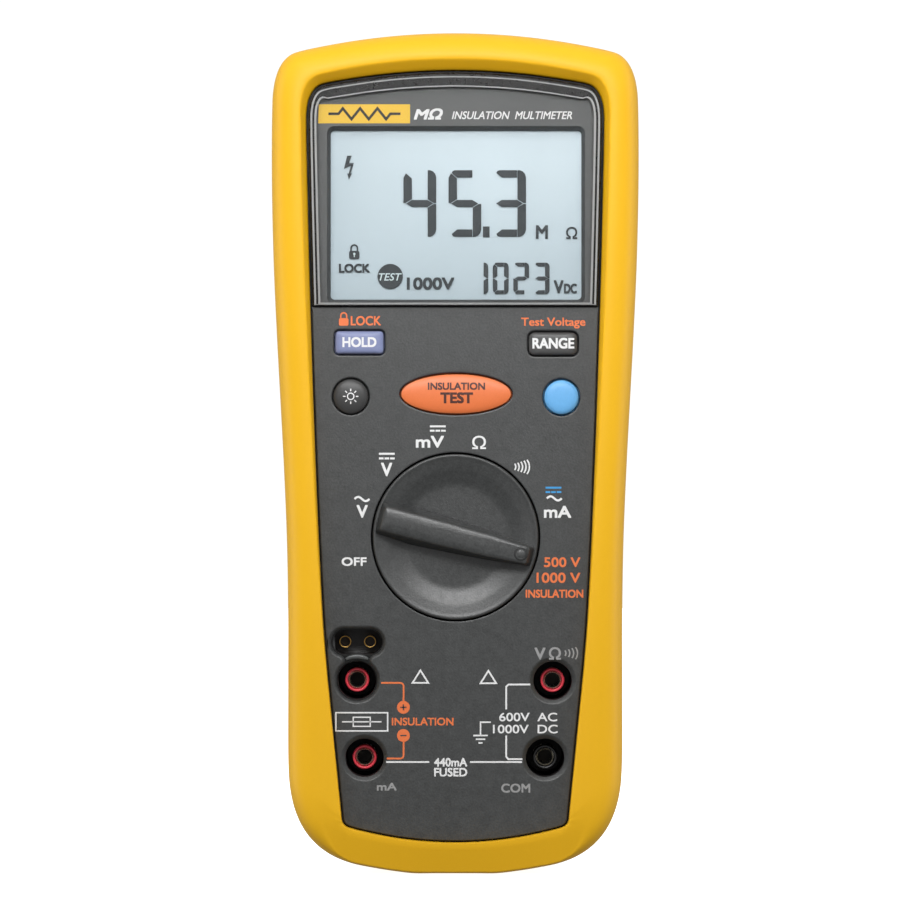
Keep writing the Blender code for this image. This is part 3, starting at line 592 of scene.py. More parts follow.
def inked(name, colour, roughness=0.5):
    """Screen-printed ink: slightly uneven in tone, with the grain of the skin under it."""
    return moulded(name, colour, roughness, drift=0.03, speckle=0.05, relief_mm=0.006)


def metal(name, colour, roughness):
    """Plated metal: fine drawn streaks and a little tarnish."""
    finish = Finish(name, colour, roughness, metallic=1.0)
    streak = finish.noise(0.5, 3.0, stretch=(1.0, 0.08, 1.0))
    tarnish = finish.noise(5.0, 3.0)
    finish.link("Base Color", finish.tint(tarnish, shade(colour, 0.8), shade(colour, 1.12)))
    finish.link("Roughness", (streak - 0.5) * 0.25 + (tarnish - 0.5) * 0.1 + roughness)
    finish.bump(streak, 0.01)
    return finish.material


def clear(name):
    """Clear acrylic: almost all light passes, with a faint haze of fine wiping marks."""
    finish = Finish(name, (0.02, 0.02, 0.02), 0.05, Alpha=0.05, Specular_IOR_Level=0.25)
    marks = finish.noise(9.0, 4.0, stretch=(1.0, 1.0, 0.25))
    finish.link("Roughness", (marks - 0.5) * 0.04 + 0.05)
    finish.link("Alpha", (marks - 0.5) * 0.02 + 0.045)
    return finish.material


# ---------------------------------------------------------------------------- settings


class RubberSettings(bpy.types.PropertyGroup):
    """The holster."""

    colour: FloatVectorProperty(
        name="Rubber", description="Colour of the holster", subtype="COLOR", size=3,
        default=(0.98, 0.405, 0.006))
    wall: FloatProperty(
        name="Wall", description="Thickness of the holster's wall in millimetres", default=3.8, min=2, max=6)
    fullness: FloatProperty(
        name="Fullness", description="How square the rounded front edge is; 2 is a circle",
        default=2.25, min=1.5, max=4)


class FaceSettings(bpy.types.PropertyGroup):
    """The case and its print."""

    colour: FloatVectorProperty(
        name="Case", description="Colour of the case", subtype="COLOR", size=3,
        default=(0.0252, 0.027, 0.027))
    white: FloatVectorProperty(
        name="White ink", description="Colour of the main print", subtype="COLOR", size=3,
        default=(0.78, 0.79, 0.79))
    orange: FloatVectorProperty(
        name="Orange ink", description="Colour of the insulation print", subtype="COLOR", size=3,
        default=(0.80, 0.155, 0.04))
    blue: FloatVectorProperty(
        name="Blue ink", description="Colour of the second function's print", subtype="COLOR", size=3,
        default=(0.035, 0.27, 0.58))
    grey: FloatVectorProperty(
        name="Grey lettering", description="Colour of the moulded jack names", subtype="COLOR", size=3,
        default=(0.27, 0.27, 0.27))


class DisplaySettings(bpy.types.PropertyGroup):
    """The display."""

    mask: FloatVectorProperty(
        name="Mask", description="Colour of the plate around the display", subtype="COLOR", size=3,
        default=(0.085, 0.088, 0.088))
    glass: FloatVectorProperty(
        name="Reflector", description="Colour of the display's bright ground", subtype="COLOR", size=3,
        default=(0.5, 0.6, 0.65))
    segment: FloatVectorProperty(
        name="Segments", description="Colour of the digits", subtype="COLOR", size=3,
        default=(0.034, 0.042, 0.047))


class KeySettings(bpy.types.PropertyGroup):
    """The five keys."""

    hold: FloatVectorProperty(
        name="Hold", description="Colour of the hold key", subtype="COLOR", size=3,
        default=(0.19, 0.22, 0.38))
    dark: FloatVectorProperty(
        name="Dark", description="Colour of the range and backlight keys", subtype="COLOR", size=3,
        default=(0.048, 0.048, 0.048))
    test: FloatVectorProperty(
        name="Test", description="Colour of the test key", subtype="COLOR", size=3,
        default=(0.8, 0.165, 0.045))
    function: FloatVectorProperty(
        name="Function", description="Colour of the second-function key", subtype="COLOR", size=3,
        default=(0.12, 0.37, 0.74))


class SwitchSettings(bpy.types.PropertyGroup):
    """The rotary switch and the jacks."""

    knob: FloatVectorProperty(
        name="Knob", description="Colour of the knob", subtype="COLOR", size=3,
        default=(0.027, 0.0286, 0.0286))
    angle: FloatProperty(
        name="Rest angle", description="Where the grip points, from the right, in degrees", default=-14.5)
    sides: IntProperty(name="Sides", description="Points round the knob", default=256, min=32, max=512)
    ring: FloatVectorProperty(
        name="Jack ring", description="Colour of the three coloured jack rings", subtype="COLOR", size=3,
        default=(0.95, 0.045, 0.07))


class StageSettings(bpy.types.PropertyGroup):
    """The floor, lights and camera."""

    white: FloatProperty(name="Ground", description="How bright the ground looks", default=1.05, min=0)
    sky: FloatProperty(name="Sky", description="Strength of the soft light from above", default=0.62, min=0)
    key: FloatProperty(name="Key light", description="Power of the light over the front", default=0.87, min=0,
                       unit="POWER")
    distance: FloatProperty(name="Distance", description="From the camera to the front", default=1.5,
                            min=0.3, unit="LENGTH")
    view: FloatProperty(name="View", description="Height of the camera's view at the object", default=0.21762,
                        min=0.05, unit="LENGTH")


# ---------------------------------------------------------------------------- holster

# for each station of the silhouette's right half, from foot to crown: how far across the lip the
# crest lies, the depth of the lip's inner edge, and the depth of the crest
LIP_STATIONS = np.array([
    (0.90, -24.3, -22.1), (0.90, -24.3, -22.1), (0.90, -24.3, -22.1), (0.90, -24.3, -22.15),
    (0.90, -24.3, -22.2), (0.90, -24.4, -22.35), (0.78, -24.5, -22.7), (0.594, -24.5, -23.2),
    (0.481, -24.5, -23.6), (0.401, -24.5, -23.95), (0.335, -24.6, -24.2), (0.296, -24.6, -24.4),
    (0.252, -24.7, -24.6), (0.1225, -24.8, -24.85), (0.04, -24.7, -25.0), (0.055, -24.2, -25.0),
    (0.08, -23.8, -25.0), (0.10, -23.35, -25.0), (0.122, -22.95, -25.0), (0.147, -22.4, -25.0),
    (0.167, -22.0, -25.0), (0.172, -21.8, -25.0), (0.18, -21.8, -25.0), (0.19, -21.8, -25.0),
    (0.20, -21.8, -25.0), (0.21, -21.7, -25.0), (0.225, -21.7, -25.0), (0.245, -21.7, -25.0),
    (0.27, -21.7, -25.0), (0.285, -21.7, -25.0), (0.29, -21.7, -25.0), (0.29, -21.7, -25.0)])
LIP_INSIDE_Y = -18.3
LIP_SIDE_Y = -17.5
BACK_BEND_Y = 11.0
BACK_INSET = 4.6
BACK_LIP_Y = 20.9


def holster_surface(wall, fullness):
    """The holster as rings across its wall, closed on itself.

    Front: from the window's edge a straight slope to the crest, an eased crest, then a
    superellipse down to the side (share across sin^(2/n) a, depth 1 - cos^(2/n) a). Back: the
    silhouette drawn in along a like curve to the flat back, then the back window and the inside.
    """
    outer, opening = flowing(silhouette(), AROUND), flowing(window(), AROUND)
    lip = flowing(both_sides_of(LIP_STATIONS), AROUND)
    share, edge_y, crest_y = lip[:, :1], lip[:, 1], lip[:, 2]
    crest = opening + (outer - opening) * share
    width = np.linalg.norm(crest - opening, axis=1)
    start, eased = np.clip(0.25 / width, 0.02, 0.3), np.clip(0.22 / width, 0.02, 0.3)

    def on_slope(place):
        """A ring on the slope, at a share of the way from the window's edge to the crest."""
        return stand(opening + (crest - opening) * place[:, None], edge_y + (crest_y - edge_y) * place)

    # the window's wall, its eased edge and the slope
    rows = [stand(opening, LIP_INSIDE_Y), stand(opening, edge_y + 0.6), stand(opening, edge_y + 0.28),
            stand(shrunk(opening, -0.06), edge_y + 0.1), on_slope(start)]
    rows += [on_slope(start + (1 - eased - start) * step) for step in np.linspace(0.25, 0.75, 3)]

    # the eased crest, then the rounded front edge down to the side
    before = on_slope(1 - eased)
    turns = np.linspace(0.16, math.pi / 2, 17)
    across, depth = np.sin(turns) ** (2 / fullness), 1 - np.cos(turns) ** (2 / fullness)
    sides = [stand(crest + (outer - crest) * a, crest_y + (LIP_SIDE_Y - crest_y) * d)
             for a, d in zip(across, depth)]
    peak = stand(crest, crest_y)
    for t in np.linspace(0, 1, 6)[:-1]:
        rows.append((1 - t) ** 2 * before + 2 * t * (1 - t) * peak + t * t * sides[0])
    rows += sides

    # the side, the rounded back edge, the flat back, its window and the inside
    rows += [stand(outer, y) for y in (-12.0, -4.0, 4.0, BACK_BEND_Y)]
    for turn in np.linspace(0, math.pi / 2, 12)[1:]:
        inset = BACK_INSET * (1 - math.cos(turn) ** 0.9)
        y = BACK_BEND_Y + (HOLSTER_HIGH[1] - BACK_BEND_Y) * math.sin(turn) ** 0.8
        rows.append(stand(flowing(silhouette(inset), AROUND), y))
    behind = flowing(back_window(), AROUND)
    back = rows[-1][:, [0, 2]]
    rows += [stand(back + (behind - back) * step, HOLSTER_HIGH[1]) for step in (0.3, 0.6)]
    rows += [stand(shrunk(behind, -0.25), HOLSTER_HIGH[1]), stand(shrunk(behind, -0.07), HOLSTER_HIGH[1] - 0.07),
             stand(behind, HOLSTER_HIGH[1] - 0.3), stand(behind, BACK_LIP_Y)]
    inside = flowing(silhouette(wall), AROUND)
    rows += [stand(inside, BACK_LIP_Y), stand(inside, LIP_INSIDE_Y)]
    surface = Surface()
    surface.grid(np.stack(rows), closed_rows=True)
    return surface


class TESTER_OT_holster(bpy.types.Operator):
    """Build the yellow holster"""

    bl_idname = "tester.holster"
    bl_label = "Holster"

    def execute(self, context):
        settings = context.scene.tester_rubber
        rubber = moulded("holster_rubber", tuple(settings.colour), 0.46, drift=0.02, speckle=0.03,
                         grain_mm=0.35, relief_mm=0.008, Specular_IOR_Level=0.3)
        surface = holster_surface(settings.wall, settings.fullness)
        surface.piece("holster_shell", rubber, "case", ["holster"], "holster_yellow", sharp=50)
        return {"FINISHED"}


# ---------------------------------------------------------------------------- face


# half width, half height and corner radius of each key; 0 makes an ellipse
KEY_SIZES = {
    "hold": (5.75, 2.7, 0.9),
    "range": (5.75, 2.7, 1.35),
    "backlight": (4.1, 4.1, 0.0),
    "test": (13.2, 4.7, 0.0),
    "function": (4.1, 4.1, 0.0),
}


def key_hole(name, grow=0.0, sides=72):
    """A key's outline, grown by a distance."""
    half_x, half_z, corner = KEY_SIZES[name]
    if corner:
        return round_box(KEYS[name], half_x + grow, half_z + grow, corner + grow)
    return ring(KEYS[name], half_x + grow, half_z + grow, sides)


KEY_GAP = 0.42
FACE_BACK_Y = FACE_Y + 2.5
# how each hole's edge is eased: (how far the hole is drawn in, depth), from the front to the back
KEY_EDGE = [(-0.28, FACE_Y), (-0.1, FACE_Y + 0.06), (0.0, FACE_Y + 0.28), (0.0, FACE_BACK_Y)]
JACK_EDGE = [(-0.12, FACE_Y), (0.0, FACE_Y + 0.05), (0.45, FACE_Y + 0.42), (0.88, FACE_Y + 0.8),
             (0.92, FACE_Y + 0.95), (0.25, FACE_Y + 1.1), (0.25, FACE_BACK_Y)]


def shared_mouth():
    """The outline round the plus jack and the probe socket: a circle below, a long round hole
    above, and a short neck that joins them."""
    x, z = JACKS["plus"]
    low = arc((0, 0), MOUTH_RADIUS, -90, 50, 26)
    high_z = SOCKET[1] - z
    neck = [(3.5, 4.5), (3.5, 4.95)]
    high = arc((3.05, high_z), 3.85, -72, 90, 22)
    right = np.concatenate([low, neck, high, [(0.0, high_z + 3.85)]])
    right = flowing(both_sides(right), 220)
    return right + (x, z)


def oblong(grow):
    """The probe socket's outline: two half circles and the straight sides between them."""
    x, z = SOCKET
    radius = 2.97 + grow
    return np.concatenate([arc((x + 3.03, z), radius, -90, 90, 20), arc((x - 3.03, z), radius, 90, 270, 20)])


def face_surface():
    """The face as a plate with every hole in it, and the case's front walls behind it."""
    opening = shrunk(flowing(window(), 620), FIT)
    top = LENS_LOW[2] - 0.3
    below = opening[opening[:, 1] < top]
    turn = int(np.argmax(np.diff(below[:, 0]) < -10))
    half = below[turn, 0]
    below = np.concatenate([[(-half, top)], below[turn + 1:], below[:turn + 1], [(half, top)]])
    loops = [rim(below, [(0.22, FACE_Y), (0.07, FACE_Y + 0.07), (0.0, FACE_Y + 0.22), (0.0, FACE_BACK_Y)])]
    loops.append(rim(ring(KNOB, KNOB_RADIUS + 0.42, sides=192),
                     [(-0.16, FACE_Y), (-0.04, FACE_Y + 0.05), (0.0, FACE_Y + 0.16), (0.0, FACE_BACK_Y)]))
    loops += [rim(key_hole(name, KEY_GAP), KEY_EDGE) for name in KEYS]
    loops += [rim(ring(JACKS[name], MOUTH_RADIUS, sides=96), JACK_EDGE)
              for name in ("volt", "current", "common")]
    loops.append(rim(shared_mouth(), [(-0.12, FACE_Y), (0.0, FACE_Y + 0.05), (0.3, FACE_Y + 0.32),
                                      (0.6, FACE_Y + 0.68), (0.66, FACE_Y + 0.8), (0.66, FACE_BACK_Y)]))
    surface = Surface()
    surface.plate(loops)
    walls = [(silhouette(4.2), -17.9), (silhouette(4.2), -0.9), (silhouette(6.2), -0.9),
             (silhouette(6.2), -15.9)]
    rows = [stand(flowing(outline, AROUND), y) for outline, y in walls]
    for inset, y in ((2.4, -15.9), (2.4, FACE_BACK_Y), (0.45, FACE_BACK_Y), (0.45, -17.9)):
        rows.append(stand(shrunk(flowing(window(), AROUND), inset), y))
    surface.grid(np.stack(rows), closed_rows=True)
    return surface


class TESTER_OT_face(bpy.types.Operator):
    """Build the face, the floor under the knob and the ledge round the probe socket"""

    bl_idname = "tester.face"
    bl_label = "Face"

    def execute(self, context):
        grey = tuple(context.scene.tester_face.colour)
        skin = moulded("case_skin", grey, 0.47, drift=0.05, speckle=0.8, grain_mm=0.5, relief_mm=0.05,
                       Specular_IOR_Level=0.75)
        face_surface().piece("face_plate", skin, "case", ["front_case"], "case_grey", sharp=24)
        well = Surface()
        well.turned(KNOB, [(6.5, -17.6), (20.3, -17.6), (20.45, -17.75), (20.45, FACE_BACK_Y),
                           (22.6, FACE_BACK_Y), (22.6, -16.4), (6.5, -16.4)], 128, closed=True)
        dark = moulded("case_shadow", shade(grey, 0.2), 0.6, Specular_IOR_Level=0.2)
        well.piece("knob_well", dark, "case", slot="case_grey")
        ledge = Surface()
        ledge_y = FACE_Y + 0.72
        edge = [(-0.15, ledge_y), (0.0, ledge_y + 0.1), (0.0, FACE_BACK_Y + 0.8)]
        ledge.plate([rim(shrunk(shared_mouth(), 0.42), [(0.0, ledge_y), (0.0, FACE_BACK_Y + 0.8)]),
                     rim(ring(JACKS["plus"], WELL_RADIUS + 0.05, sides=96), edge),
                     rim(oblong(0.05), edge)])
        ledge.piece("socket_ledge", dark, "case", slot="case_grey", sharp=24)
        self.ridge(ledge_y)
        return {"FINISHED"}

    def ridge(self, ledge_y):
        """The rounded bridge between the plus jack and the probe socket: a half-round bar bent
        along a circle about the jack, whose height and width both fade out at its ends. Its colour is
        the face's made 2.6 times lighter: a painted highlight."""
        x, z = JACKS["plus"]
        turn = np.radians(np.linspace(62, 118, 40))
        fade = np.sin(np.linspace(0.12, math.pi - 0.12, 40)) ** 0.35
        around = np.linspace(0, 2 * math.pi, 24, endpoint=False)
        radius = 5.72 + 0.62 * fade[:, None] * np.cos(around)
        y = ledge_y + 0.1 - (0.1 + 0.5 * fade[:, None]) * np.sin(around)
        rows = np.stack([x + radius * np.cos(turn)[:, None], y, z + radius * np.sin(turn)[:, None]], -1)
        bridge = Surface()
        bridge.grid(rows, cap_first=True, cap_last=True)
        # the bridge's colour is the face's made lighter, a painted highlight
        highlight_skin = moulded("bridge_polish", shade(tuple(bpy.context.scene.tester_face.colour), 2.6), 0.3,
                        speckle=0.05, relief_mm=0.004)
        bridge.piece("socket_bridge", highlight_skin, "case", slot="case_grey", sharp=60)


# ---------------------------------------------------------------------------- display

# the seven segments in a cell, as (share of width, share of thickness) pairs: x is the first
# number times the cell's width plus the second times a bar's thickness, and z likewise with the
# cell's height
BARS = {
    "a": [((1, -1.06), (1, 0)), ((0, 0.75), (1, 0)), ((0, 0.50), (1, -0.08)), ((0, 0.36), (1, -0.33)),
          ((0, 1.02), (1, -0.87)), ((1, -1.06), (1, -0.87))],
    "b": [((1, -1), (1, 0)), ((1, -0.72), (1, 0)), ((1, -0.38), (1, -0.14)), ((1, -0.12), (1, -0.42)),
          ((1, 0), (1, -0.85)), ((1, 0), (0.5, 0.06)), ((1, -0.28), (0.5, 0.06)), ((1, -1), (0.5, 0.5))],
    "f": [((0, 0), (0.5, 0.06)), ((0, 0), (1, -0.9)), ((0, 0.28), (1, -0.37)), ((0, 0.98), (1, -0.97)),
          ((0, 1), (0.5, 0.52)), ((0, 0.25), (0.5, 0.06))],
    "g": [((0, 0.32), (0.5, 0)), ((0, 1.0), (0.5, 0.42)), ((1, -1.05), (0.5, 0.42)),
          ((1, -0.36), (0.5, 0)), ((1, -1.05), (0.5, -0.42)), ((0, 1.0), (0.5, -0.42))],
}
DIGITS = {"0": "abcdef", "1": "bc", "2": "abged", "3": "abgcd", "4": "fgbc", "5": "afgcd"}


def bar_outline(letter, corner, size, thick):
    """One segment's outline; c, d and e are b, a and f turned over."""
    mirrored = {"c": "b", "d": "a", "e": "f"}
    shares = np.array(BARS[mirrored.get(letter, letter)], float)
    x = shares[:, 0, 0] * size[0] + shares[:, 0, 1] * thick
    z = shares[:, 1, 0] * size[1] + shares[:, 1, 1] * thick
    if letter in mirrored:
        z = size[1] - z
    return np.stack([corner[0] + x, corner[1] + z], -1)


def padlock(ink, centre, scale):
    """A closed padlock: a round-cornered body under a shackle."""
    x, z = centre
    ink.shape(round_box((x, z - 0.55 * scale), 1.0 * scale, 0.8 * scale, 0.35 * scale, 4))
    shackle = np.concatenate([[(x - 0.62 * scale, z + 0.2 * scale)],
                              arc((x, z + 0.75 * scale), 0.62 * scale, 180, 0, 12),
                              [(x + 0.62 * scale, z + 0.2 * scale)]])
    ink.line(shackle, 0.3 * scale)


def resistor(ink, box, width):
    """A resistor's zigzag between two leads."""
    left, right, z, height = box
    x = np.linspace(left + 0.14 * (right - left), right - 0.14 * (right - left), 13)
    rise = np.zeros(13)
    rise[1:-1:2] = height * np.array([1, -1, 1, -1, 1, -1])
    path = np.stack([x, z + rise], -1)
    ink.line(np.concatenate([[(left, z)], path[[0]], path[1::2], path[[-1]], [(right, z)]]), width)


class TESTER_OT_display(bpy.types.Operator):
    """Build the display: seat, mask, border, clear window, ground, digits and signs"""

    bl_idname = "tester.display"
    bl_label = "Display"

    def execute(self, context):
        settings = context.scene.tester_display
        black = moulded("border_black", (0.005, 0.005, 0.005), 0.3, speckle=0.1, relief_mm=0.0005,
                        Specular_IOR_Level=0.3)
        mask = moulded("mask_paint", tuple(settings.mask), 0.5, drift=0.03, speckle=0.06, relief_mm=0.006)
        # the mask's sloping opening is painted darker than the mask: painted shade inside the recess
        shadow = moulded("mask_bevel_paint", shade(tuple(settings.mask), 0.62), 0.55, relief_mm=0.006)
        self.frame(black, mask, shadow)
        self.ground(tuple(settings.glass))
        self.digits(inked("segment_ink", tuple(settings.segment), 0.6))
        self.light_signs(inked("display_light", shade(tuple(settings.glass), 1.1), 0.6))
        return {"FINISHED"}

    def frame(self, black, mask, shadow):
        """Seat, mask with its sloping opening painted darker as shade, black border with two pale lines painted on
        as highlights, and window.
        """
        half_x, half_z = WINDOW_HALF_X, WINDOW_HALF_Z
        seat = Surface()
        hole = round_box(LCD, half_x + 0.8, half_z + 0.8, 1.6)
        flat = [(0.0, -19.8), (0.0, FACE_BACK_Y)]
        seat.plate([rim(lens_ring(0.3, 0.3, -0.3), flat), rim(hole, flat)])
        seat.piece("lens_seat", black, "case", slot="black_plastic")
        plate = Surface()
        flat = [(0.0, MASK_LOW[1]), (0.0, MASK_HIGH[1])]
        plate.plate([rim(lens_ring(0.9, 0.9, 0.3), flat),
                     rim(round_box(LCD, half_x + 0.8, half_z + 1.05, 1.7), flat)])
        plate.piece("mask_plate", mask, "case", ["display_mask"], "mask_grey")
        slope = Surface()
        rows = [stand(round_box(LCD, half_x + wide, half_z + high, corner), y) for wide, high, corner, y in (
            (0.83, 1.08, 1.7, MASK_LOW[1] - 0.03), (0.7, 0.9, 1.6, MASK_LOW[1] + 0.1),
            (0.08, 0.08, 1.1, -18.6), (0.0, 0.0, 1.0, -18.45), (0.0, 0.0, 1.0, -18.25),
            (0.83, 1.08, 1.7, -18.25))]
        slope.grid(np.stack(rows), closed_rows=True)
        slope.piece("mask_bevel", shadow, "case", slot="mask_grey")
        border = Surface()
        front = LENS_LOW[1] + 0.25
        rows = [stand(lens_ring(*inset), y) for inset, y in (
            ((0.6, 0.6, 0.0), -20.7), ((0.6, 0.6, 0.0), front + 0.45), ((0.75, 0.8, 0.08), front + 0.12),
            ((0.95, 1.0, 0.2), front), ((2.3, 3.8, 0.42), front), ((2.4, 3.9, 0.5), front + 0.1),
            ((2.42, 3.92, 0.52), -20.7))]
        border.grid(np.stack(rows), closed_rows=True)
        border.piece("lens_border", black, "case", slot="black_plastic", sharp=12)
        # the two pale lines on the black border are painted highlights of the lens edges
        pale = moulded("border_line", (0.30, 0.305, 0.305), 0.4, speckle=0.05, relief_mm=0.003)
        for name, outer, inner in (("lens_line_outer", (1.05, 1.5, 0.18), (1.5, 1.8, 0.3)),
                                   ("lens_line_inner", (2.0, 3.75, 0.38), (2.5, 4.05, 0.7))):
            line = Surface()
            rows = [stand(lens_ring(*inset), y) for inset, y in (
                (outer, front + 0.05), (outer, front - 0.02), (inner, front - 0.02), (inner, front + 0.05))]
            line.grid(np.stack(rows), closed_rows=True)
            line.piece(name, pale, "case", slot="mask_grey", sharp=12)
        window_pane = Surface()
        pane = [((0.6, 0.6, 0.0), front - 0.04), ((0.6, 0.6, 0.0), LENS_LOW[1] + 0.08),
                ((0.68, 0.68, 0.08), LENS_LOW[1])]
        rows = np.stack([stand(lens_ring(*inset), y) for inset, y in pane])
        window_pane.grid(rows, cap_first=True, cap_last=True)
        window_pane.piece("display_pane", clear("clear_acrylic"), "case", ["display_lens"], "clear_lens")

    def ground(self, colour):
        """The bright ground behind the digits: a plate with eased edges."""
        finish = Finish("display_ground", colour, 0.45)
        share = (finish.noise(30.0, 2.0) - 0.5) * 0.10 + (finish.noise(0.4, 2.0) - 0.5) * 0.03 + 0.5
        finish.link("Base Color", finish.tint(share, shade(colour, 0.9), shade(colour, 1.1)))
        finish.link("Roughness", finish.noise(2.0, 2.0) * 0.1 + 0.4)
        finish.bump(finish.noise(0.2, 2.0), 0.002)
        x, z = LCD
        front = LCD_LOW[1] + 0.3
        outline = round_box((x, z), 32.0, 22.6, 0.6)
        plate = Surface()
        rows = rim(outline, [(0.2, front), (0.05, front + 0.06), (0.0, front + 0.2), (0.0, LCD_HIGH[1])])
        plate.grid(rows, cap_first=True, cap_last=True)
        plate.piece("display_ground_plate", finish.material, "case", ["lcd_panel"], "lcd_glass")

    def digits(self, ink):
        """The reading, the smaller voltage, units and signs, just in front of the ground."""
        signs = Print(LCD_LOW[1] + 0.06, 0.05)
        for text, left, low, size, step, thick in (("45", -12.7, -5.2, (7.9, 16.1), 10.9, 2.05),
                                                   ("3", 9.0, -5.2, (7.9, 16.1), 0.0, 2.05),
                                                   ("1023", 3.95, -19.05, (3.8, 7.6), 4.95, 1.08)):
            for place, digit in enumerate(text):
                for letter in DIGITS[digit]:
                    corner = LCD + (left + step * place, low)
                    signs.shape(bar_outline(letter, corner, size, thick))
        x, z = LCD
        signs.shape([(x + 6.5, z - 5.3), (x + 8.1, z - 5.3), (x + 8.1, z - 2.7), (x + 6.5, z - 2.7)])
        for text, box, bold in (("M", (19.3, -5.7, 22.2, -2.4), 0.22), ("LOCK", (-28.3, -13.9, -20.8, -11.7), 0.2),
                                  ("1000V", (-11.9, -18.0, -0.4, -15.0), 0.26),
                                  ("V", (23.6, -18.9, 26.0, -15.7), 0.26), ("DC", (26.1, -18.9, 29.2, -16.5), 0.22),
                                  ("Ω", (26.6, -5.7, 29.3, -2.8), 0.08)):
            signs.word(text, box, LCD, bold)
        signs.shape(ring(LCD + (-15.9, -14.8), 3.05, sides=48))
        padlock(signs, LCD + (-24.6, -8.9), 1.25)
        bolt = [(-26.9, 14.4), (-25.8, 14.4), (-26.5, 12.6), (-25.3, 12.65), (-26.1, 10.1), (-25.75, 10.15),
                (-26.5, 8.6), (-26.9, 10.15), (-26.55, 10.05), (-26.0, 12.0), (-27.7, 11.2)]
        signs.shape((np.array(bolt) + (0.6, 0) + LCD)[::-1])
        signs.piece("display_digits", ink, "case", slot="lcd_glass", sharp=30)

    def light_signs(self, ink):
        """The parts of the signs that show the ground's colour."""
        signs = Print(LCD_LOW[1] + 0.0, 0.02)
        signs.word("TEST", (-18.7, -15.8, -13.1, -14.0), LCD, 0.05, 0.25)
        x, z = LCD + (-24.6, -9.5)
        signs.shape(ring((x, z + 0.15), 0.3, sides=16))
        signs.shape([(x - 0.12, z - 0.6), (x + 0.12, z - 0.6), (x + 0.12, z), (x - 0.12, z)])
        signs.piece("display_signs_light", ink, "case", slot="lcd_glass", sharp=30)


# ---------------------------------------------------------------------------- keys


def dome(name, rise_a, rise_b):
    """A key's top as a function of place: y = front + a rho^2 + b rho^8, where rho is the share of
    the way from its middle to its edge."""
    front = low_high("key_" + name)[0][1]
    half_x, half_z, _corner = KEY_SIZES[name]
    x0, z0 = KEYS[name]

    def level(x, z):
        share = ((x - x0) / half_x) ** 2 + ((z - z0) / half_z) ** 2
        return front + rise_a * share + rise_b * share**4

    return level


class TESTER_OT_keys(bpy.types.Operator):
    """Build the five keys with their printed names"""

    bl_idname = "tester.keys"
    bl_label = "Keys"

    def execute(self, context):
        settings = context.scene.tester_keys
        colours = {"hold": settings.hold, "range": shade(settings.dark, 1.2),
                   "backlight": shade(settings.dark, 0.7), "test": settings.test,
                   "function": settings.function}
        slots = {"hold": "key_violet", "range": "key_grey", "backlight": "key_grey",
                 "test": "key_orange", "function": "key_blue"}
        domes = {"hold": (0.04, 0.8), "range": (0.1, 0.75), "backlight": (0.55, 0.35),
                 "test": (0.5, 0.4), "function": (0.25, 0.6)}
        for name in KEYS:
            skin = moulded("key_skin_" + name, tuple(colours[name]), 0.42, drift=0.03, speckle=0.06,
                           grain_mm=0.35, relief_mm=0.006)
            self.key(name, skin, slots[name], *domes[name])
        white = inked("key_ink_white", tuple(context.scene.tester_face.white), 0.5)
        dark = inked("key_ink_dark", (0.06, 0.016, 0.01), 0.5)
        for name, text, box, bold in (("hold", "HOLD", (-4.1, -1.15, 4.1, 1.3), 0.2),
                                      ("range", "RANGE", (-5.0, -1.2, 5.1, 1.4), 0.2)):
            name_print = Print(low_high("key_" + name)[0][1] + 0.02)
            name_print.word(text, box, KEYS[name], bold)
            name_print.piece("key_name_" + name, white, "key_" + name, slot="key_grey")
        words = Print(dome("test", *domes["test"]))
        words.word("INSULATION", (-6.8, 0.95, 7.0, 2.75), KEYS["test"], 0.16)
        words.word("TEST", (-3.8, -2.3, 4.1, 0.4), KEYS["test"], 0.28)
        words.piece("key_name_test", dark, "key_test", slot="key_grey")
        sun = Print(dome("backlight", *domes["backlight"]))
        sun.line(arc(KEYS["backlight"], 0.78, 0, 345, 23), 0.26, closed=True)
        for turn in range(0, 360, 45):
            ray = np.array([math.cos(math.radians(turn)), math.sin(math.radians(turn))])
            sun.line([KEYS["backlight"] + ray * 1.25, KEYS["backlight"] + ray * 1.85], 0.26)
        sun.piece("key_name_backlight", white, "key_backlight", slot="key_grey")
        return {"FINISHED"}

    def key(self, name, skin, slot, rise_a, rise_b):
        """A key: its outline shrunk towards the middle over a domed top, then its side, the flange
        that keeps it in, and its stem."""
        front = low_high("key_" + name)[0][1]
        outline = key_hole(name)
        rows = []
        for share in (0.04, 0.2, 0.36, 0.5, 0.62, 0.72, 0.8, 0.86, 0.91, 0.95, 0.98, 1.0):
            y = front + rise_a * share**2 + rise_b * share**8
            rows.append(stand(KEYS[name] + (outline - KEYS[name]) * share, y))
        edge = front + rise_a + rise_b
        rows += [stand(outline, edge + 0.12), stand(outline, -18.1)]
        flange = key_hole(name, 0.8)
        stem = KEYS[name] + (outline - KEYS[name]) * 0.7
        rows += [stand(flange, -18.1), stand(flange, -17.2), stand(stem, -17.2), stand(stem, -10.7)]
        surface = Surface()
        surface.grid(np.stack(rows), cap_first=True, cap_last=True)
        surface.piece("key_cap_" + name, skin, "key_" + name, ["key_" + name], slot, sharp=42)


# ---------------------------------------------------------------------------- rotary switch

# the dish's section from its middle to its edge, as (radius, y)
DISH = [(0.3, -19.5), (6.0, -19.5), (11.0, -19.52), (12.8, -19.66), (14.6, -20.2), (16.2, -20.75),
        (17.5, -21.05), (18.7, -21.3), (19.35, -21.48), (19.72, -21.46), (19.93, -21.25), (20.0, -20.95)]
# stations of the grip: the place along it, half its width on top, half its width at the foot
GRIP_STATIONS = [
    (-18.1, 2.9, 4.35), (-9.6, 2.9, 4.4), (0.0, 2.8, 3.95), (9.0, 2.65, 3.4), (18.0, 2.1, 2.45)]


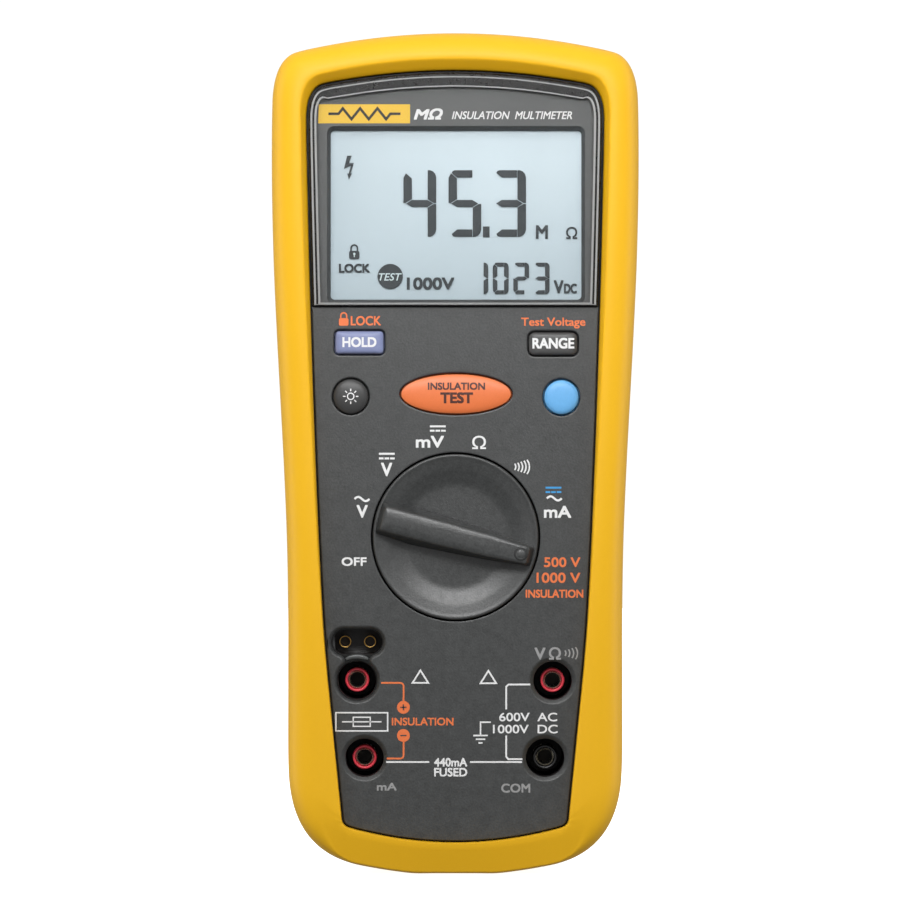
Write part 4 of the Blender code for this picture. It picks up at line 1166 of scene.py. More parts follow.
class TESTER_OT_knob(bpy.types.Operator):
    """Build the knob's dish, grip and pointer dot"""

    bl_idname = "tester.knob"
    bl_label = "Knob"

    def execute(self, context):
        settings = context.scene.tester_switch
        skin = moulded("knob_skin", tuple(settings.knob), 0.42, drift=0.05, speckle=0.7, grain_mm=0.45,
                       relief_mm=0.045, Specular_IOR_Level=0.75)
        scale = KNOB_RADIUS / 20.0
        section = [(radius * scale, y) for radius, y in soften(DISH, 60)]
        section += [(20.0 * scale, -18.4), (19.7 * scale, -18.1), (6.0, -18.1), (6.0, -12.4)]
        dish = Surface()
        dish.turned(KNOB, section, settings.sides)
        dish.piece("knob_dish", skin, "knob", ["rotary_knob"], "knob_grey", sharp=40)
        self.grip(skin, settings.angle)
        self.dot(skin, settings.angle)
        return {"FINISHED"}

    def place(self, points, angle):
        """Turn points (along, across) about the knob's middle."""
        turn = math.radians(angle)
        along, across = points[:, 0], points[:, 1]
        x = KNOB[0] + along * math.cos(turn) - across * math.sin(turn)
        z = KNOB[1] + along * math.sin(turn) + across * math.cos(turn)
        return np.stack([x, z], -1)

    def grip_ring(self, share, reach, corner, angle):
        """The grip's outline where its sides are a share of the way from top to foot."""
        stations = np.array(GRIP_STATIONS)
        along = stations[:, 0] + np.array([-reach, 0, 0, 0, reach])
        half = stations[:, 1] + (stations[:, 2] - stations[:, 1]) * share
        corners = np.concatenate([np.stack([along, -half], -1), np.stack([along, half], -1)[::-1]])
        radii = [corner, 30.0, 30.0, 30.0, corner * 0.8, corner * 0.8, 30.0, 30.0, 30.0, corner]
        return self.place(rounded(corners, radii, 10), angle)

    def grip(self, skin, angle):
        """The grip: rings from its foot, which flares into the dish, up its steep sides and over
        an eased edge to the flat top."""
        top = KNOB_TOP
        steps = [(1.15, 1.5, 1.2, -19.0), (1.12, 1.45, 1.2, -19.45), (1.0, 1.3, 1.1, -19.8),
                 (0.88, 1.2, 1.1, -20.6), (0.66, 1.0, 1.0, -22.0), (0.44, 0.6, 0.9, -23.1),
                 (0.24, 0.35, 0.9, -23.9), (0.06, 0.1, 0.8, top + 0.62), (-0.1, -0.05, 0.7, top + 0.4),
                 (-0.35, -0.3, 0.6, top + 0.24), (-0.8, -0.6, 0.5, top + 0.1), (-1.3, -1.0, 0.4, top + 0.02),
                 (-1.5, -1.3, 0.35, top)]
        rows = [stand(self.grip_ring(share, reach, corner, angle), y) for share, reach, corner, y in steps]
        surface = Surface()
        surface.grid(np.stack(rows), cap_first=True, cap_last=True)
        surface.piece("knob_grip", skin, "knob", slot="knob_grey", sharp=34)

    def dot(self, skin, angle):
        """The pointer: a near-black ring round a domed dot, painted shade standing for a groove."""
        centre = self.place(np.array([[16.2, 0.0]]), angle)[0]
        top = KNOB_TOP
        groove = Surface()
        groove.turned(centre, [(1.25, top - 0.02), (1.62, top - 0.02), (1.68, top + 0.02), (1.62, top + 0.3),
                               (1.25, top + 0.3)], 48, closed=True)
        # the groove is a near-black ring laid in front of the knob's top: painted shade
        dark = moulded("pointer_groove", (0.008, 0.008, 0.008), 0.6)
        groove.piece("knob_dot_groove", dark, "knob", slot="key_grey")
        dot = Surface()
        turn = np.linspace(0.03, math.pi / 2, 14)
        section = [(1.32 * math.sin(a), top + 0.28 - 0.42 * math.cos(a)) for a in turn]
        dot.turned(centre, [*section, (1.32, top + 0.45)], 48)
        dot.piece("knob_dot", skin, "knob", ["pointer_dot"], "key_grey", sharp=60)


# ---------------------------------------------------------------------------- jacks


class TESTER_OT_jacks(bpy.types.Operator):
    """Build the four shrouded jacks and the two-pin probe socket"""

    bl_idname = "tester.jacks"
    bl_label = "Jacks"

    def execute(self, context):
        black = moulded("well_black", (0.010, 0.008, 0.008), 0.5, speckle=0.1, relief_mm=0.004)
        red = moulded("ring_red_skin", tuple(context.scene.tester_switch.ring), 0.35, drift=0.03,
                      speckle=0.04, relief_mm=0.003)
        common = moulded("ring_black_skin", (0.015, 0.015, 0.015), 0.25, relief_mm=0.003)
        sleeve = metal("jack_plating", (0.86, 0.82, 0.72), 0.22)
        gold = metal("probe_gold", (0.55, 0.33, 0.10), 0.32)
        for name, centre in JACKS.items():
            self.jack(name, centre, black, common if name == "common" else red, sleeve)
        self.probe_socket(black, gold)
        return {"FINISHED"}

    def jack(self, name, centre, black, ring_skin, sleeve):
        """One jack, each part revolved about the jack's axis: the well, the collar round the bore
        with its eased front edge, and the contact tube inside it."""
        back = low_high("jack_shroud_" + name)[1][1]
        well = Surface()
        well.turned(centre, [(0.05, back - 1.4), (WELL_RADIUS - 0.3, back - 1.4), (WELL_RADIUS, back - 1.7),
                             (WELL_RADIUS, -20.05), (WELL_RADIUS + 0.08, -20.16), (5.2, -20.16), (5.28, -20.0),
                             (5.28, back), (0.05, back)], 96)
        well.piece("jack_well_" + name, black, "case", ["jack_shroud_" + name], "black_plastic")
        front = low_high("jack_ring_" + name)[0][1]
        turn = np.linspace(0, math.pi, 13)
        nose = [(2.585 - 0.335 * math.cos(a), front + 0.34 - 0.34 * math.sin(a)) for a in turn]
        collar = Surface()
        collar.turned(centre, [(2.25, -10.0), *nose, (2.92, -10.0)], 96, closed=True)
        slot = "black_plastic" if name == "common" else "ring_red"
        collar.piece("jack_collar_" + name, ring_skin, "case", ["jack_ring_" + name], slot, sharp=50)
        tube = Surface()
        tube.turned(centre, [(2.08, -9.7), (2.08, front + 0.6), (1.98, front + 0.5), (1.84, front + 0.65),
                             (1.84, -0.2), (2.92, -0.2), (2.92, -9.7)], 64, closed=True)
        tube.piece("jack_sleeve_" + name, sleeve, "case", ["jack_contact_" + name], "brass")

    def probe_socket(self, black, gold):
        """The probe socket: a long round cup with a ring-shaped contact at each end."""
        cup = Surface()
        front, back = FACE_BACK_Y - 1.6, -11.5
        inside = [(-0.4, -13.0), (0.0, -13.2), (0.0, front), (0.35, front)]
        outside = [(0.35, front), (0.38, front), (0.38, back)]
        cup.grid(np.stack([stand(oblong(grow), y) for grow, y in inside]), cap_first=True)
        cup.grid(np.stack([stand(oblong(grow), y) for grow, y in outside]), cap_last=True)
        cup.piece("probe_cup", black, "case", ["probe_socket"], "black_plastic")
        for side in ("left", "right"):
            centre = middle("probe_contact_" + side)
            low, high = low_high("probe_contact_" + side)
            turn = np.linspace(0, 2 * math.pi, 17)[:-1]
            lip = [(1.33 + 0.13 * math.cos(a), low[1] + 0.13 + 0.13 * math.sin(a)) for a in turn]
            contact = Surface()
            contact.turned(centre, lip, 48, closed=True)
            contact.turned(centre, [(1.2, low[1] + 0.15), (1.42, low[1] + 0.15), (1.42, high[1]),
                                    (1.2, high[1])], 48, closed=True)
            contact.piece("probe_pin_" + side, gold, "case", ["probe_contact_" + side], "brass")


# ---------------------------------------------------------------------------- legends


class TESTER_OT_legends(bpy.types.Operator):
    """Print the face: switch positions, key names, jack names and the lines between the jacks"""

    bl_idname = "tester.legends"
    bl_label = "Legends"

    def execute(self, context):
        inks = context.scene.tester_face
        level = FACE_Y + 0.01
        white, orange, blue, grey = (Print(level) for _ink in range(4))
        self.switch_positions(white, orange, blue)
        self.key_names(orange)
        self.jack_names(white, orange, grey)
        for name, ink in (("white", white), ("orange", orange), ("blue", blue), ("grey", grey)):
            skin = inked("face_ink_" + name, tuple(getattr(inks, name)))
            ink.piece("face_print_" + name, skin, "case", slot="case_grey")
        self.title(tuple(inks.white))
        return {"FINISHED"}

    def bars(self, ink, box):
        """The sign for direct current: a solid bar over three short ones."""
        left, low, right, high = box
        thick = (high - low) * 0.3
        ink.line([(left, high - thick / 2), (right, high - thick / 2)], thick)
        step = (right - left) / 3.4
        for start in (left, left + 1.2 * step, left + 2.4 * step):
            ink.line([(start, low + thick / 2), (start + step, low + thick / 2)], thick)

    def sound(self, ink, box, anchor, count=5):
        """A row of arcs that grow to the right, for the audible test."""
        left, low, right, high = box
        middle_z = (low + high) / 2
        for step in range(count):
            share = step / (count - 1)
            half = (high - low) / 2 * (0.45 + 0.55 * share)
            x = left + (right - left) * share
            spread_deg = 38
            radius = half / math.sin(math.radians(spread_deg))
            start = (anchor[0] + x - radius, anchor[1] + middle_z)
            ink.line(arc(start, radius, -spread_deg, spread_deg, 8), 0.34)

    def switch_positions(self, white, orange, blue):
        """The signs round the knob."""
        for text, box, bold in (
                ("OFF", (-27.5, -7.0, -21.5, -4.9), 0.16), ("V", (-23.9, 4.6, -21.2, 7.7), 0.2),
                ("V", (-18.0, 14.6, -15.3, 17.9), 0.2), ("mV", (-9.6, 21.5, -2.8, 24.4), 0.2),
                ("Ω", (4.0, 21.2, 7.3, 24.4), 0.06), ("mA", (21.3, 4.6, 27.9, 7.5), 0.2)):
            white.word(text, box, KNOB, bold)
        white.line(wave(*(KNOB[0] + np.array([-24.4, -20.8])), KNOB[1] + 9.15, 0.5), 0.5)
        white.line(wave(*(KNOB[0] + np.array([22.0, 25.6])), KNOB[1] + 9.3, 0.5), 0.5)
        for left, low, right, high in ((-18.5, 18.7, -14.7, 20.3), (-6.2, 25.4, -2.4, 26.9)):
            x, z = KNOB
            self.bars(white, (x + left, z + low, x + right, z + high))
        self.bars(blue, (KNOB[0] + 21.7, KNOB[1] + 10.6, KNOB[0] + 25.5, KNOB[1] + 12.1))
        self.sound(white, (14.5, 15.2, 17.8, 18.6), KNOB)
        for text, box in (("500 V", (21.3, -7.3, 30.1, -4.9)), ("1000 V", (19.5, -11.1, 30.1, -8.6)),
                          ("INSULATION", (16.9, -14.7, 30.8, -12.7))):
            orange.word(text, box, KNOB, 0.14)

    def key_names(self, orange):
        """The names over the two upper keys."""
        orange.word("LOCK", (-2.1, 4.1, 5.2, 6.4), KEYS["hold"], 0.12)
        padlock(orange, KEYS["hold"] + (-3.8, 5.6), 1.15)
        orange.word("Test Voltage", (-7.7, 3.7, 7.8, 6.3), KEYS["range"], 0.1)

    def jack_names(self, white, orange, grey):
        """The names beside the jacks, and the lines that pair the jacks up."""
        plus, volt, current, common = (JACKS[name] for name in ("plus", "volt", "current", "common"))
        wide = 0.42
        orange.line(plus + np.array([(5.8, -0.6), (10.5, -0.6), (11.0, -0.8), (11.25, -1.3),
                                     (11.25, -5.0)]), wide)
        orange.line(plus + np.array([(7.2, -18.85), (10.5, -18.85), (11.0, -18.65), (11.25, -18.1),
                                     (11.25, -14.8)]), wide)
        for z, plus_sign in ((-6.5, True), (-13.3, False)):
            centre = plus + (11.2, z)
            orange.line(arc(centre, 1.05, 0, 345, 23), 1.0, closed=True)
            orange.shape(ring(centre, 0.56, sides=24))
            self.sign(centre, plus_sign)
        orange.word("INSULATION", (8.4, -10.9, 23.3, -9.0), plus, 0.12)
        for anchor, left in ((plus, 13.4), (volt, -17.4)):
            corners = [(left, -0.6), (left + 3.8, -0.6), (left + 1.9, 2.4)]
            white.line(anchor + np.array(corners), 0.4, closed=True)
        white.line(volt + np.array([(-5.4, -0.9), (-10.6, -0.9), (-11.2, -1.4), (-11.2, -6.9)]), wide)
        white.line(volt + np.array([(-11.2, -13.2), (-11.2, -18.3), (-10.7, -18.9), (-7.3, -18.9)]), wide)
        white.word("600V  AC", (-12.9, -9.8, 1.1, -7.7), volt, 0.08)
        white.word("1000V  DC", (-14.4, -12.7, 1.2, -10.6), volt, 0.08)
        white.line(volt + np.array([(-14.9, -10.0), (-17.4, -10.0), (-17.4, -13.1)]), 0.36)
        for half, z in ((1.75, -13.2), (1.15, -14.1), (0.5, -15.0)):
            white.line(volt + np.array([(-17.4 - half, z), (-17.4 + half, z)]), 0.36)
        box = plus + np.array([(-5.1, -12.2), (7.4, -12.2), (7.4, -7.8), (-5.1, -7.8)])
        white.line(box, 0.34, closed=True)
        white.line(plus + np.array([(-3.6, -10.0), (5.9, -10.0)]), 0.3)
        white.line(plus + np.array([(-0.9, -11.1), (3.2, -11.1), (3.2, -8.9), (-0.9, -8.9)]), 0.3, closed=True)
        white.word("440mA", (-26.8, -2.1, -18.8, 0.0), common, 0.14)
        white.word("FUSED", (-26.8, -4.5, -18.8, -2.4), common, 0.14)
        for left, right in ((-38.4, -28.0), (-18.1, -5.6)):
            white.line(common + np.array([(left, -1.0), (right, -1.0)]), 0.4)
        grey.word("mA", (3.0, -7.9, 7.8, -6.0), current, 0.14)
        grey.word("COM", (-10.6, -8.4, -3.6, -6.2), common, 0.14)
        grey.word("V", (-4.4, 5.1, -1.7, 8.0), volt, 0.18)
        grey.word("Ω", (-0.9, 5.1, 2.0, 8.1), volt, 0.12)
        self.sound(grey, (3.2, 5.2, 6.0, 8.1), volt, 4)

    def sign(self, centre, plus_sign):
        """The dark plus or minus on an orange disc."""
        ink = Print(FACE_Y - 0.02, 0.03)
        ink.line([centre + (-0.75, 0), centre + (0.75, 0)], 0.32)
        if plus_sign:
            ink.line([centre + (0, -0.75), centre + (0, 0.75)], 0.32)
        skin = inked("sign_ink", (0.05, 0.04, 0.04))
        ink.piece("face_sign_plus" if plus_sign else "face_sign_minus", skin, "case", slot="case_grey")

    def title(self, white):
        """The name of the instrument on the mask, and an amber block with a resistor on it."""
        level = MASK_LOW[1]
        name = Print(level + 0.01, 0.04)
        name.word("INSULATION  MULTIMETER", (-1.0, 23.1, 28.0, 25.0), LCD, 0.06, 0.25)
        name.word("MΩ", (-10.2, 23.0, -3.2, 25.7), LCD, 0.24, 0.25)
        name.piece("mask_title", inked("mask_ink_white", white), "case", slot="mask_grey")
        amber = Print(level + 0.01, 0.04)
        x, z = LCD
        amber.shape([(x - 33.3, z + 22.1), (x - 11.1, z + 22.1), (x - 11.1, z + 26.7), (x - 33.1, z + 26.7)])
        amber.piece("mask_badge", inked("mask_ink_amber", (0.95, 0.46, 0.03)), "case", slot="mask_grey")
        sign = Print(level - 0.03, 0.03)
        resistor(sign, (x - 30.8, x - 13.4, z + 24.4, 1.3), 0.62)
        sign.piece("mask_badge_sign", inked("mask_ink_dark", (0.012, 0.012, 0.012)), "case", slot="mask_grey")


# ---------------------------------------------------------------------------- back


def slot_outline(centre, half_long, half_wide, sides=8):
    """A screwdriver slot: two half circles joined by straight sides."""
    x, z = centre
    return np.concatenate([arc((x + half_long - half_wide, z), half_wide, -90, 90, sides),
                           arc((x - half_long + half_wide, z), half_wide, 90, 270, sides)])


def cross_outline(centre, arm, half_wide):
    """A cross recess: a plus whose arms narrow a little towards their ends."""
    tip = half_wide * 0.7
    quarter = np.array([(arm, -tip), (arm, tip), (half_wide, half_wide)])
    turns = [np.array([[math.cos(a), math.sin(a)], [-math.sin(a), math.cos(a)]])
             for a in np.radians([0, 90, 180, 270])]
    return np.concatenate([quarter @ turn for turn in turns]) + centre


def lying_ring(x, y, z, radius, sides=24):
    """A circle square to X, for a pin that lies across the case."""
    turn = np.linspace(0, 2 * math.pi, sides, endpoint=False)
    return np.stack([np.full(sides, x), y + radius * np.cos(turn), z + radius * np.sin(turn)], -1)


class TESTER_OT_back(bpy.types.Operator):
    """Build the tilting stand, battery door, its locks, the case screws and the rating label"""

    bl_idname = "tester.back"
    bl_label = "Back"

    def execute(self, context):
        grey = tuple(context.scene.tester_face.colour)
        yellow = tuple(context.scene.tester_rubber.colour)
        skin = moulded("back_skin", shade(grey, 0.9), 0.55, drift=0.05, speckle=0.18, grain_mm=0.3,
                       relief_mm=0.022)
        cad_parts["rear_case"].material_slots[0].material = skin
        self.door(skin)
        steel = metal("screw_steel", (0.42, 0.41, 0.39), 0.35)
        for side in LOCKS:
            self.lock(side, moulded("lock_skin_" + side, shade(grey, 0.55), 0.42, relief_mm=0.008))
            for level in ("lower", "upper"):
                self.screw(f"case_screw_{level}_{side}", steel)
        self.stand(moulded("stand_skin", shade(yellow, 0.97), 0.5, drift=0.03, speckle=0.04,
                           relief_mm=0.01))
        self.label()
        return {"FINISHED"}

    def door(self, skin):
        """The battery door: an eased plate with two lock holes, and five half-round grip ridges."""
        low, high = low_high("battery_door")
        centre, half = flat_box("battery_door")
        edge = [(0.35, high[1]), (0.1, high[1] - 0.12), (0.0, high[1] - 0.4), (0.0, low[1])]
        plate = Surface()
        plate.plate([rim(round_box(centre, half[0], half[1], 2.0, 10), edge),
                     *(rim(ring(centre, 4.3, sides=64), [(-inset, y) for inset, y in edge])
                       for centre in LOCKS.values())])
        for step in range(5):
            z = low[2] + 12.5 + 2.6 * step
            turn = np.linspace(0, math.pi, 9)
            reach = np.array([-9.2, -9.0, -8.6, 8.6, 9.0, 9.2])
            size = np.array([0.3, 0.75, 1.0, 1.0, 0.75, 0.3])[:, None]
            rows = np.stack([np.repeat(reach[:, None], 9, 1), high[1] - 0.05 + 0.45 * size * np.sin(turn),
                             z + 0.7 * size * np.cos(turn)], -1)
            plate.grid(rows, cap_first=True, cap_last=True)
        plate.piece("battery_door_plate", skin, "door", ["battery_door"], "case_grey", sharp=35)

    def lock(self, side, skin):
        """A quarter-turn lock: a slotted cap over its floor, its stem and its tongue."""
        centre = LOCKS[side]
        cap = Surface()
        front = low_high("door_lock_" + side)[1][1]
        floor = front - 0.7
        cap.plate([rim(ring(centre, 4.0, sides=64), [(0.25, front), (0.06, front - 0.08), (0.0, front - 0.3),
                                                     (0.0, floor)]),
                   rim(slot_outline(centre, 3.0, 0.6), [(-0.1, front), (0.0, front - 0.1), (0.0, floor)])])
        cap.turned(centre, [(0.05, floor + 0.01), (3.95, floor + 0.01), (4.0, floor - 0.05), (4.0, 20.45),
                            (2.4, 20.45), (2.4, 18.0), (0.05, 18.0)], 48)
        cap.piece("lock_cap_" + side, skin, "lock_" + side, ["door_lock_" + side], "black_plastic")

    def screw(self, node, steel):
        """A pan-head screw: a crowned disc with a cross recess, its floor and its shank."""
        low, high = low_high(node)
        centre, (radius, _) = flat_box(node)
        front = high[1]
        head = Surface()
        head.plate([rim(ring(centre, radius, sides=48), [(0.7, front), (0.3, front - 0.12), (0.08, front - 0.4),
                                                        (0.0, front - 0.8), (0.0, front - 1.3)]),
                    rim(cross_outline(centre, 1.35, 0.34), [(0.0, front), (0.06, front - 0.8),
                                                           (0.06, front - 1.3)])])
        head.turned(centre, [(0.03, front - 0.8), (1.6, front - 0.8), (1.6, front - 1.25), (1.2, front - 1.4),
                             (1.2, low[1] + 0.8), (0.5, low[1])], 32)
        head.piece(node + "_head", steel, "case", [node], "spring_steel", sharp=30)

    def stand(self, skin):
        """The stand: a U with eased edges, a thumb dip in its foot, and its two hinge pins."""
        low, high = low_high("tilt_stand")
        outer, inner, foot, top = 34.2, 30.6, low[2], high[2]
        x = np.linspace(-1, 1, 41)
        outline = np.concatenate([
            bend((-outer, top - 3), (-outer, top), (-outer + 1.8, top), 8)[::-1],
            rounded([(-outer, foot), (outer, foot)] + [(0, top)], 4.0, 10)[:22],
            bend((outer, top - 3), (outer, top), (outer - 1.8, top), 8),
            [(inner + 0.2, top), (inner, top - 1.5)],
            np.stack([inner * x[::-1] * 0.985, foot + 5 + 1.2 * x[::-1] ** 6], -1),
            [(-inner, top - 1.5), (-inner - 0.2, top)]])
        edge = [(0.45, high[1]), (0.12, high[1] - 0.15), (0.0, high[1] - 0.5), (0.0, low[1] + 0.5),
                (0.12, low[1] + 0.15), (0.45, low[1])]
        frame_u = Surface()
        frame_u.plate([rim(outline, edge)])
        y, z = (low[1] + high[1]) / 2, top - 2.6
        for side in (-1, 1):
            reach = side * np.array([inner + 1.0, outer + 2.9, outer + 3.2])
            rows = np.stack([lying_ring(reach[0], y, z, 1.2), lying_ring(reach[1], y, z, 1.2),
                             lying_ring(reach[2], y, z, 0.9)])
            frame_u.grid(rows, cap_first=True, cap_last=True)
        frame_u.piece("stand_bail", skin, "stand", ["tilt_stand"], "holster_yellow", sharp=40)

    def label(self):
        """The rating label: a blank silver plate with a printed border and empty fields."""
        low, high = low_high("rating_label")
        centre, half = flat_box("rating_label")
        plate = Surface()
        plate.plate([rim(round_box(centre, half[0], half[1], 1.2), [(0.1, high[1]), (0.0, high[1] - 0.05),
                                                                  (0.0, low[1])])])
        silver = moulded("label_film", (0.42, 0.43, 0.44), 0.35, drift=0.03, speckle=0.03, relief_mm=0.002)
        plate.piece("label_film", silver, "case", ["rating_label"], "label_silver")
        ink = Print(high[1] - 0.08, -0.11)
        ink.line(round_box(centre, half[0] - 1.2, half[1] - 1.2, 0.8), 0.25, closed=True)
        for z in (-3.4, 0.0, 3.4):
            ink.line([centre + (-half[0] + 1.3, z), centre + (half[0] - 1.3, z)], 0.18)
        ink.piece("label_lines", inked("label_ink", (0.03, 0.03, 0.03)), "case", slot="label_silver")


# ---------------------------------------------------------------------------- inside


def upright(surface, x, y, profile, sides=48):
    """Revolve a profile of (radius, z) about an upright axis: x + r cos a, y + r sin a."""
    profile = np.asarray(profile, float)
    turn = np.linspace(0, 2 * math.pi, sides, endpoint=False)
    radius = profile[:, :1]
    rows = np.stack([x + radius * np.cos(turn), y + radius * np.sin(turn), np.repeat(profile[:, 1:], sides, 1)], -1)
    surface.grid(rows, cap_first=True, cap_last=True)


class TESTER_OT_inside(bpy.types.Operator):
    """Build the battery cells and finish every part inside the case"""

    bl_idname = "tester.inside"
    bl_label = "Inside"

    def execute(self, context):
        self.cells()
        made = {
            "case_grey": moulded("inner_grey", (0.07, 0.072, 0.073), 0.55),
            "black_plastic": moulded("inner_black", (0.012, 0.012, 0.012), 0.5),
            "diffuser_white": moulded("diffuser_white", (0.75, 0.76, 0.76), 0.45, speckle=0.03),
            "board_green": moulded("board_green", (0.012, 0.11, 0.04), 0.35, drift=0.1, speckle=0.1),
            "silicone": moulded("silicone", (0.45, 0.45, 0.43), 0.6, speckle=0.05),
            "seal_black": moulded("seal_rubber", (0.016, 0.016, 0.016), 0.75, speckle=0.08),
            "brass": metal("inner_brass", (0.75, 0.5, 0.19), 0.3),
            "spring_steel": metal("inner_steel", (0.55, 0.54, 0.51), 0.3),
            "fuse_ceramic": moulded("fuse_ceramic", (0.72, 0.69, 0.62), 0.3, speckle=0.04),
            "core_ferrite": moulded("core_ferrite", (0.035, 0.03, 0.027), 0.6, speckle=0.2),
            "relay_blue": moulded("relay_blue", (0.02, 0.09, 0.3), 0.4),
            "knob_grey": moulded("inner_knob", (0.06, 0.06, 0.06), 0.5),
        }
        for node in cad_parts.values():
            spot = node.material_slots[0]
            slot = spot.material.name.split(".")[0]
            if slot in made:
                spot.material = made[slot]
        return {"FINISHED"}

    def cells(self):
        """Four cells, each a turned can with rolled shoulders, a nub and a coppery band."""
        jacket = moulded("cell_jacket", (0.014, 0.014, 0.015), 0.25, speckle=0.04, relief_mm=0.002)
        copper = moulded("cell_band", (0.55, 0.21, 0.06), 0.25, speckle=0.04, relief_mm=0.002, Metallic=0.6)
        for number in range(1, 5):
            low, high = low_high(f"battery_{number}")
            x, y, _z = (low + high) / 2
            length, radius = high[2] - low[2], (high[0] - low[0]) / 2
            section = [(0.05, 0.0), (radius - 1.6, 0.0), (radius - 1.2, 0.35), (radius - 0.5, 0.4), (radius, 1.0),
                       (radius, length - 2.4), (radius - 0.5, length - 1.7), (radius - 1.6, length - 1.5),
                       (2.75, length - 1.4), (2.7, length - 0.2), (2.5, length), (0.05, length)]
            band = [(radius - 0.2, 36.5), (radius + 0.03, 36.6), (radius + 0.03, length - 2.6),
                    (radius - 0.2, length - 2.3)]
            flip = number % 2 == 0
            for profile, finish, name, node in ((section, jacket, "cell_can_", [f"battery_{number}"]),
                                                (band, copper, "cell_band_", ())):
                profile = [(r, (high[2] - z) if flip else (low[2] + z)) for r, z in profile]
                cell = Surface()
                upright(cell, x, y, profile)
                cell.piece(f"{name}{number}", finish, "case", node, "battery_black", sharp=35)


# ---------------------------------------------------------------------------- stage


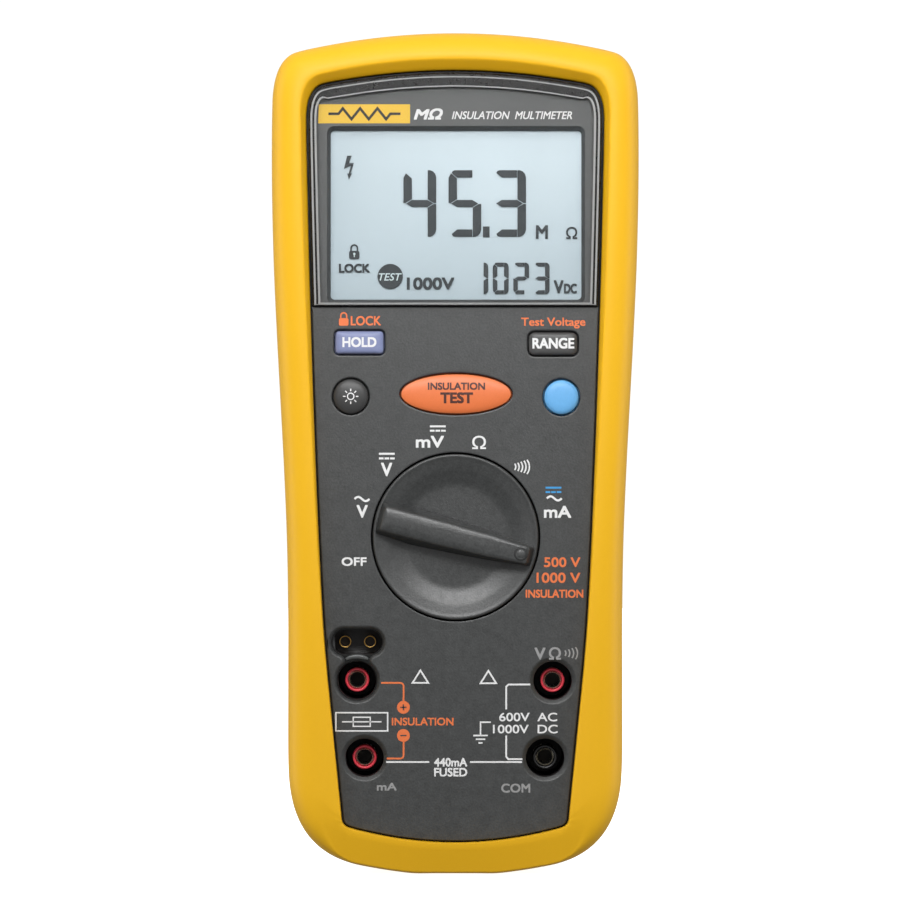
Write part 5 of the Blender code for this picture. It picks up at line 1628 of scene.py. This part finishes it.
class TESTER_OT_stage(bpy.types.Operator):
    """Set the pale floor, the lights and the camera"""

    bl_idname = "tester.stage"
    bl_label = "Stage"

    def execute(self, context):
        settings = context.scene.tester_stage
        context.scene.view_settings.view_transform = "Standard"
        self.floor()
        self.sky(settings.white, settings.sky)
        self.lamp("key_lamp", (0.0, -0.30, 0.27), (0.0, 0.0, 0.13), (0.30, 0.09), settings.key)
        self.lamp("front_lamp", (-0.5, -1.15, 1.35), (0.0, 0.0, 0.1), (1.2, 0.8), settings.key * 8.2)
        for side in (-1, 1):
            self.lamp(f"side_lamp_{side}", (side * 0.7, 0.05, 0.16), (0.0, 0.0, 0.1), (0.3, 0.7),
                      settings.key * 1.8)
        self.camera(settings.distance, settings.view)
        return {"FINISHED"}

    def floor(self):
        """A round floor, its radius growing in steps, under the object."""
        ground = Surface()
        turn = np.linspace(0, 2 * math.pi, 64, endpoint=False)
        radius = np.array([1.0, 200.0, 700.0, 2500.0])[:, None]
        ground.grid(np.stack([radius * np.cos(turn), radius * np.sin(turn), np.full((4, 64), -0.05)], -1),
                    cap_first=True)
        paper = Finish("floor_paper", (0.86, 0.86, 0.86), 0.8, Emission_Strength=1.0,
                       Emission_Color=(0.93, 0.93, 0.93, 1.0))
        paper.link("Roughness", paper.noise(3.0, 2.0) * 0.1 + 0.75)
        mesh = bpy.data.meshes.new("floor")
        mesh.from_pydata(np.concatenate(ground.points) * MM, [], ground.faces)
        mesh.materials.append(paper.material)
        floor = bpy.data.objects.new("floor", mesh)
        bpy.context.scene.collection.objects.link(floor)
        floor.visible_diffuse = floor.visible_glossy = False

    def sky(self, white, strength):
        """A white ground for the camera; for light, a sky that brightens from below to above."""
        world = bpy.data.worlds.new("studio")
        bpy.context.scene.world = world
        world.use_nodes = True
        tree = world.node_tree
        tree.nodes.clear()
        add = tree.nodes.new
        place, parts, ramp = add("ShaderNodeTexCoord"), add("ShaderNodeSeparateXYZ"), add("ShaderNodeMapRange")
        seen, light, mix = add("ShaderNodeBackground"), add("ShaderNodeBackground"), add("ShaderNodeMixShader")
        path, out = add("ShaderNodeLightPath"), add("ShaderNodeOutputWorld")
        ramp.inputs["From Min"].default_value = -0.6
        ramp.inputs["From Max"].default_value = 0.9
        ramp.inputs["To Min"].default_value = strength * 0.5
        ramp.inputs["To Max"].default_value = strength * 1.25
        seen.inputs["Strength"].default_value = white
        for source, target in ((place.outputs["Generated"], parts.inputs[0]),
                               (parts.outputs["Z"], ramp.inputs["Value"]),
                               (ramp.outputs["Result"], light.inputs["Strength"]),
                               (path.outputs["Is Camera Ray"], mix.inputs["Fac"]),
                               (light.outputs[0], mix.inputs[1]), (seen.outputs[0], mix.inputs[2]),
                               (mix.outputs[0], out.inputs["Surface"])):
            tree.links.new(source, target)
        light.inputs["Color"].default_value = (1.0, 1.0, 1.0, 1.0)
        seen.inputs["Color"].default_value = (1.0, 1.0, 1.0, 1.0)

    def lamp(self, name, place, target, size, power):
        """A rectangular soft light aimed at a point, in metres."""
        data = bpy.data.lights.new(name, "AREA")
        data.shape = "RECTANGLE"
        data.size, data.size_y = size
        data.energy = power
        lamp = bpy.data.objects.new(name, data)
        lamp.location = place
        lamp.rotation_euler = (Vector(target) - Vector(place)).to_track_quat("-Z", "Y").to_euler()
        lamp.visible_camera = False
        bpy.context.scene.collection.objects.link(lamp)

    def camera(self, distance, view):
        """A long lens straight in front, square to the face, framed on the holster's height."""
        data = bpy.data.cameras.new("camera")
        data.sensor_width = 36.0
        data.lens = 36.0 * distance / view
        data.clip_end = 20.0
        camera = bpy.data.objects.new("camera", data)
        camera.location = (-0.00126, LIP_SIDE_Y * MM - distance, 0.10227)
        camera.rotation_euler = (math.pi / 2, 0.0, 0.0)
        bpy.context.scene.collection.objects.link(camera)
        bpy.context.scene.camera = camera


# ---------------------------------------------------------------------------- add-on

SETTINGS = {
    "tester_rubber": RubberSettings,
    "tester_face": FaceSettings,
    "tester_display": DisplaySettings,
    "tester_keys": KeySettings,
    "tester_switch": SwitchSettings,
    "tester_stage": StageSettings,
}
BUILDERS = (TESTER_OT_holster, TESTER_OT_face, TESTER_OT_display, TESTER_OT_keys, TESTER_OT_knob,
            TESTER_OT_jacks, TESTER_OT_legends, TESTER_OT_back, TESTER_OT_inside, TESTER_OT_stage)


class TESTER_PT_panel(bpy.types.Panel):
    """The tester's settings and the buttons that build it"""

    bl_label = "Insulation Tester"
    bl_space_type = "VIEW_3D"
    bl_region_type = "UI"
    bl_category = "Tester"

    def draw(self, context):
        for name, group in SETTINGS.items():
            column = self.layout.column(align=True)
            column.label(text=group.__name__.replace("Settings", ""))
            for field in group.__annotations__:
                column.prop(getattr(context.scene, name), field)
        for builder in BUILDERS:
            self.layout.operator(builder.bl_idname)


def register():
    """Register every class, and hang the settings on the scene."""
    for kind in (*SETTINGS.values(), *BUILDERS, TESTER_PT_panel):
        bpy.utils.register_class(kind)
    for name, group in SETTINGS.items():
        setattr(bpy.types.Scene, name, PointerProperty(type=group))


def unregister():
    """Undo register."""
    for name in SETTINGS:
        delattr(bpy.types.Scene, name)
    for kind in (TESTER_PT_panel, *reversed(BUILDERS), *reversed(SETTINGS.values())):
        bpy.utils.unregister_class(kind)


def main():
    """Build everything in order."""
    register()
    for builder in BUILDERS:
        group, name = builder.bl_idname.split(".")
        getattr(getattr(bpy.ops, group), name)()


if __name__ == "__main__":
    main()
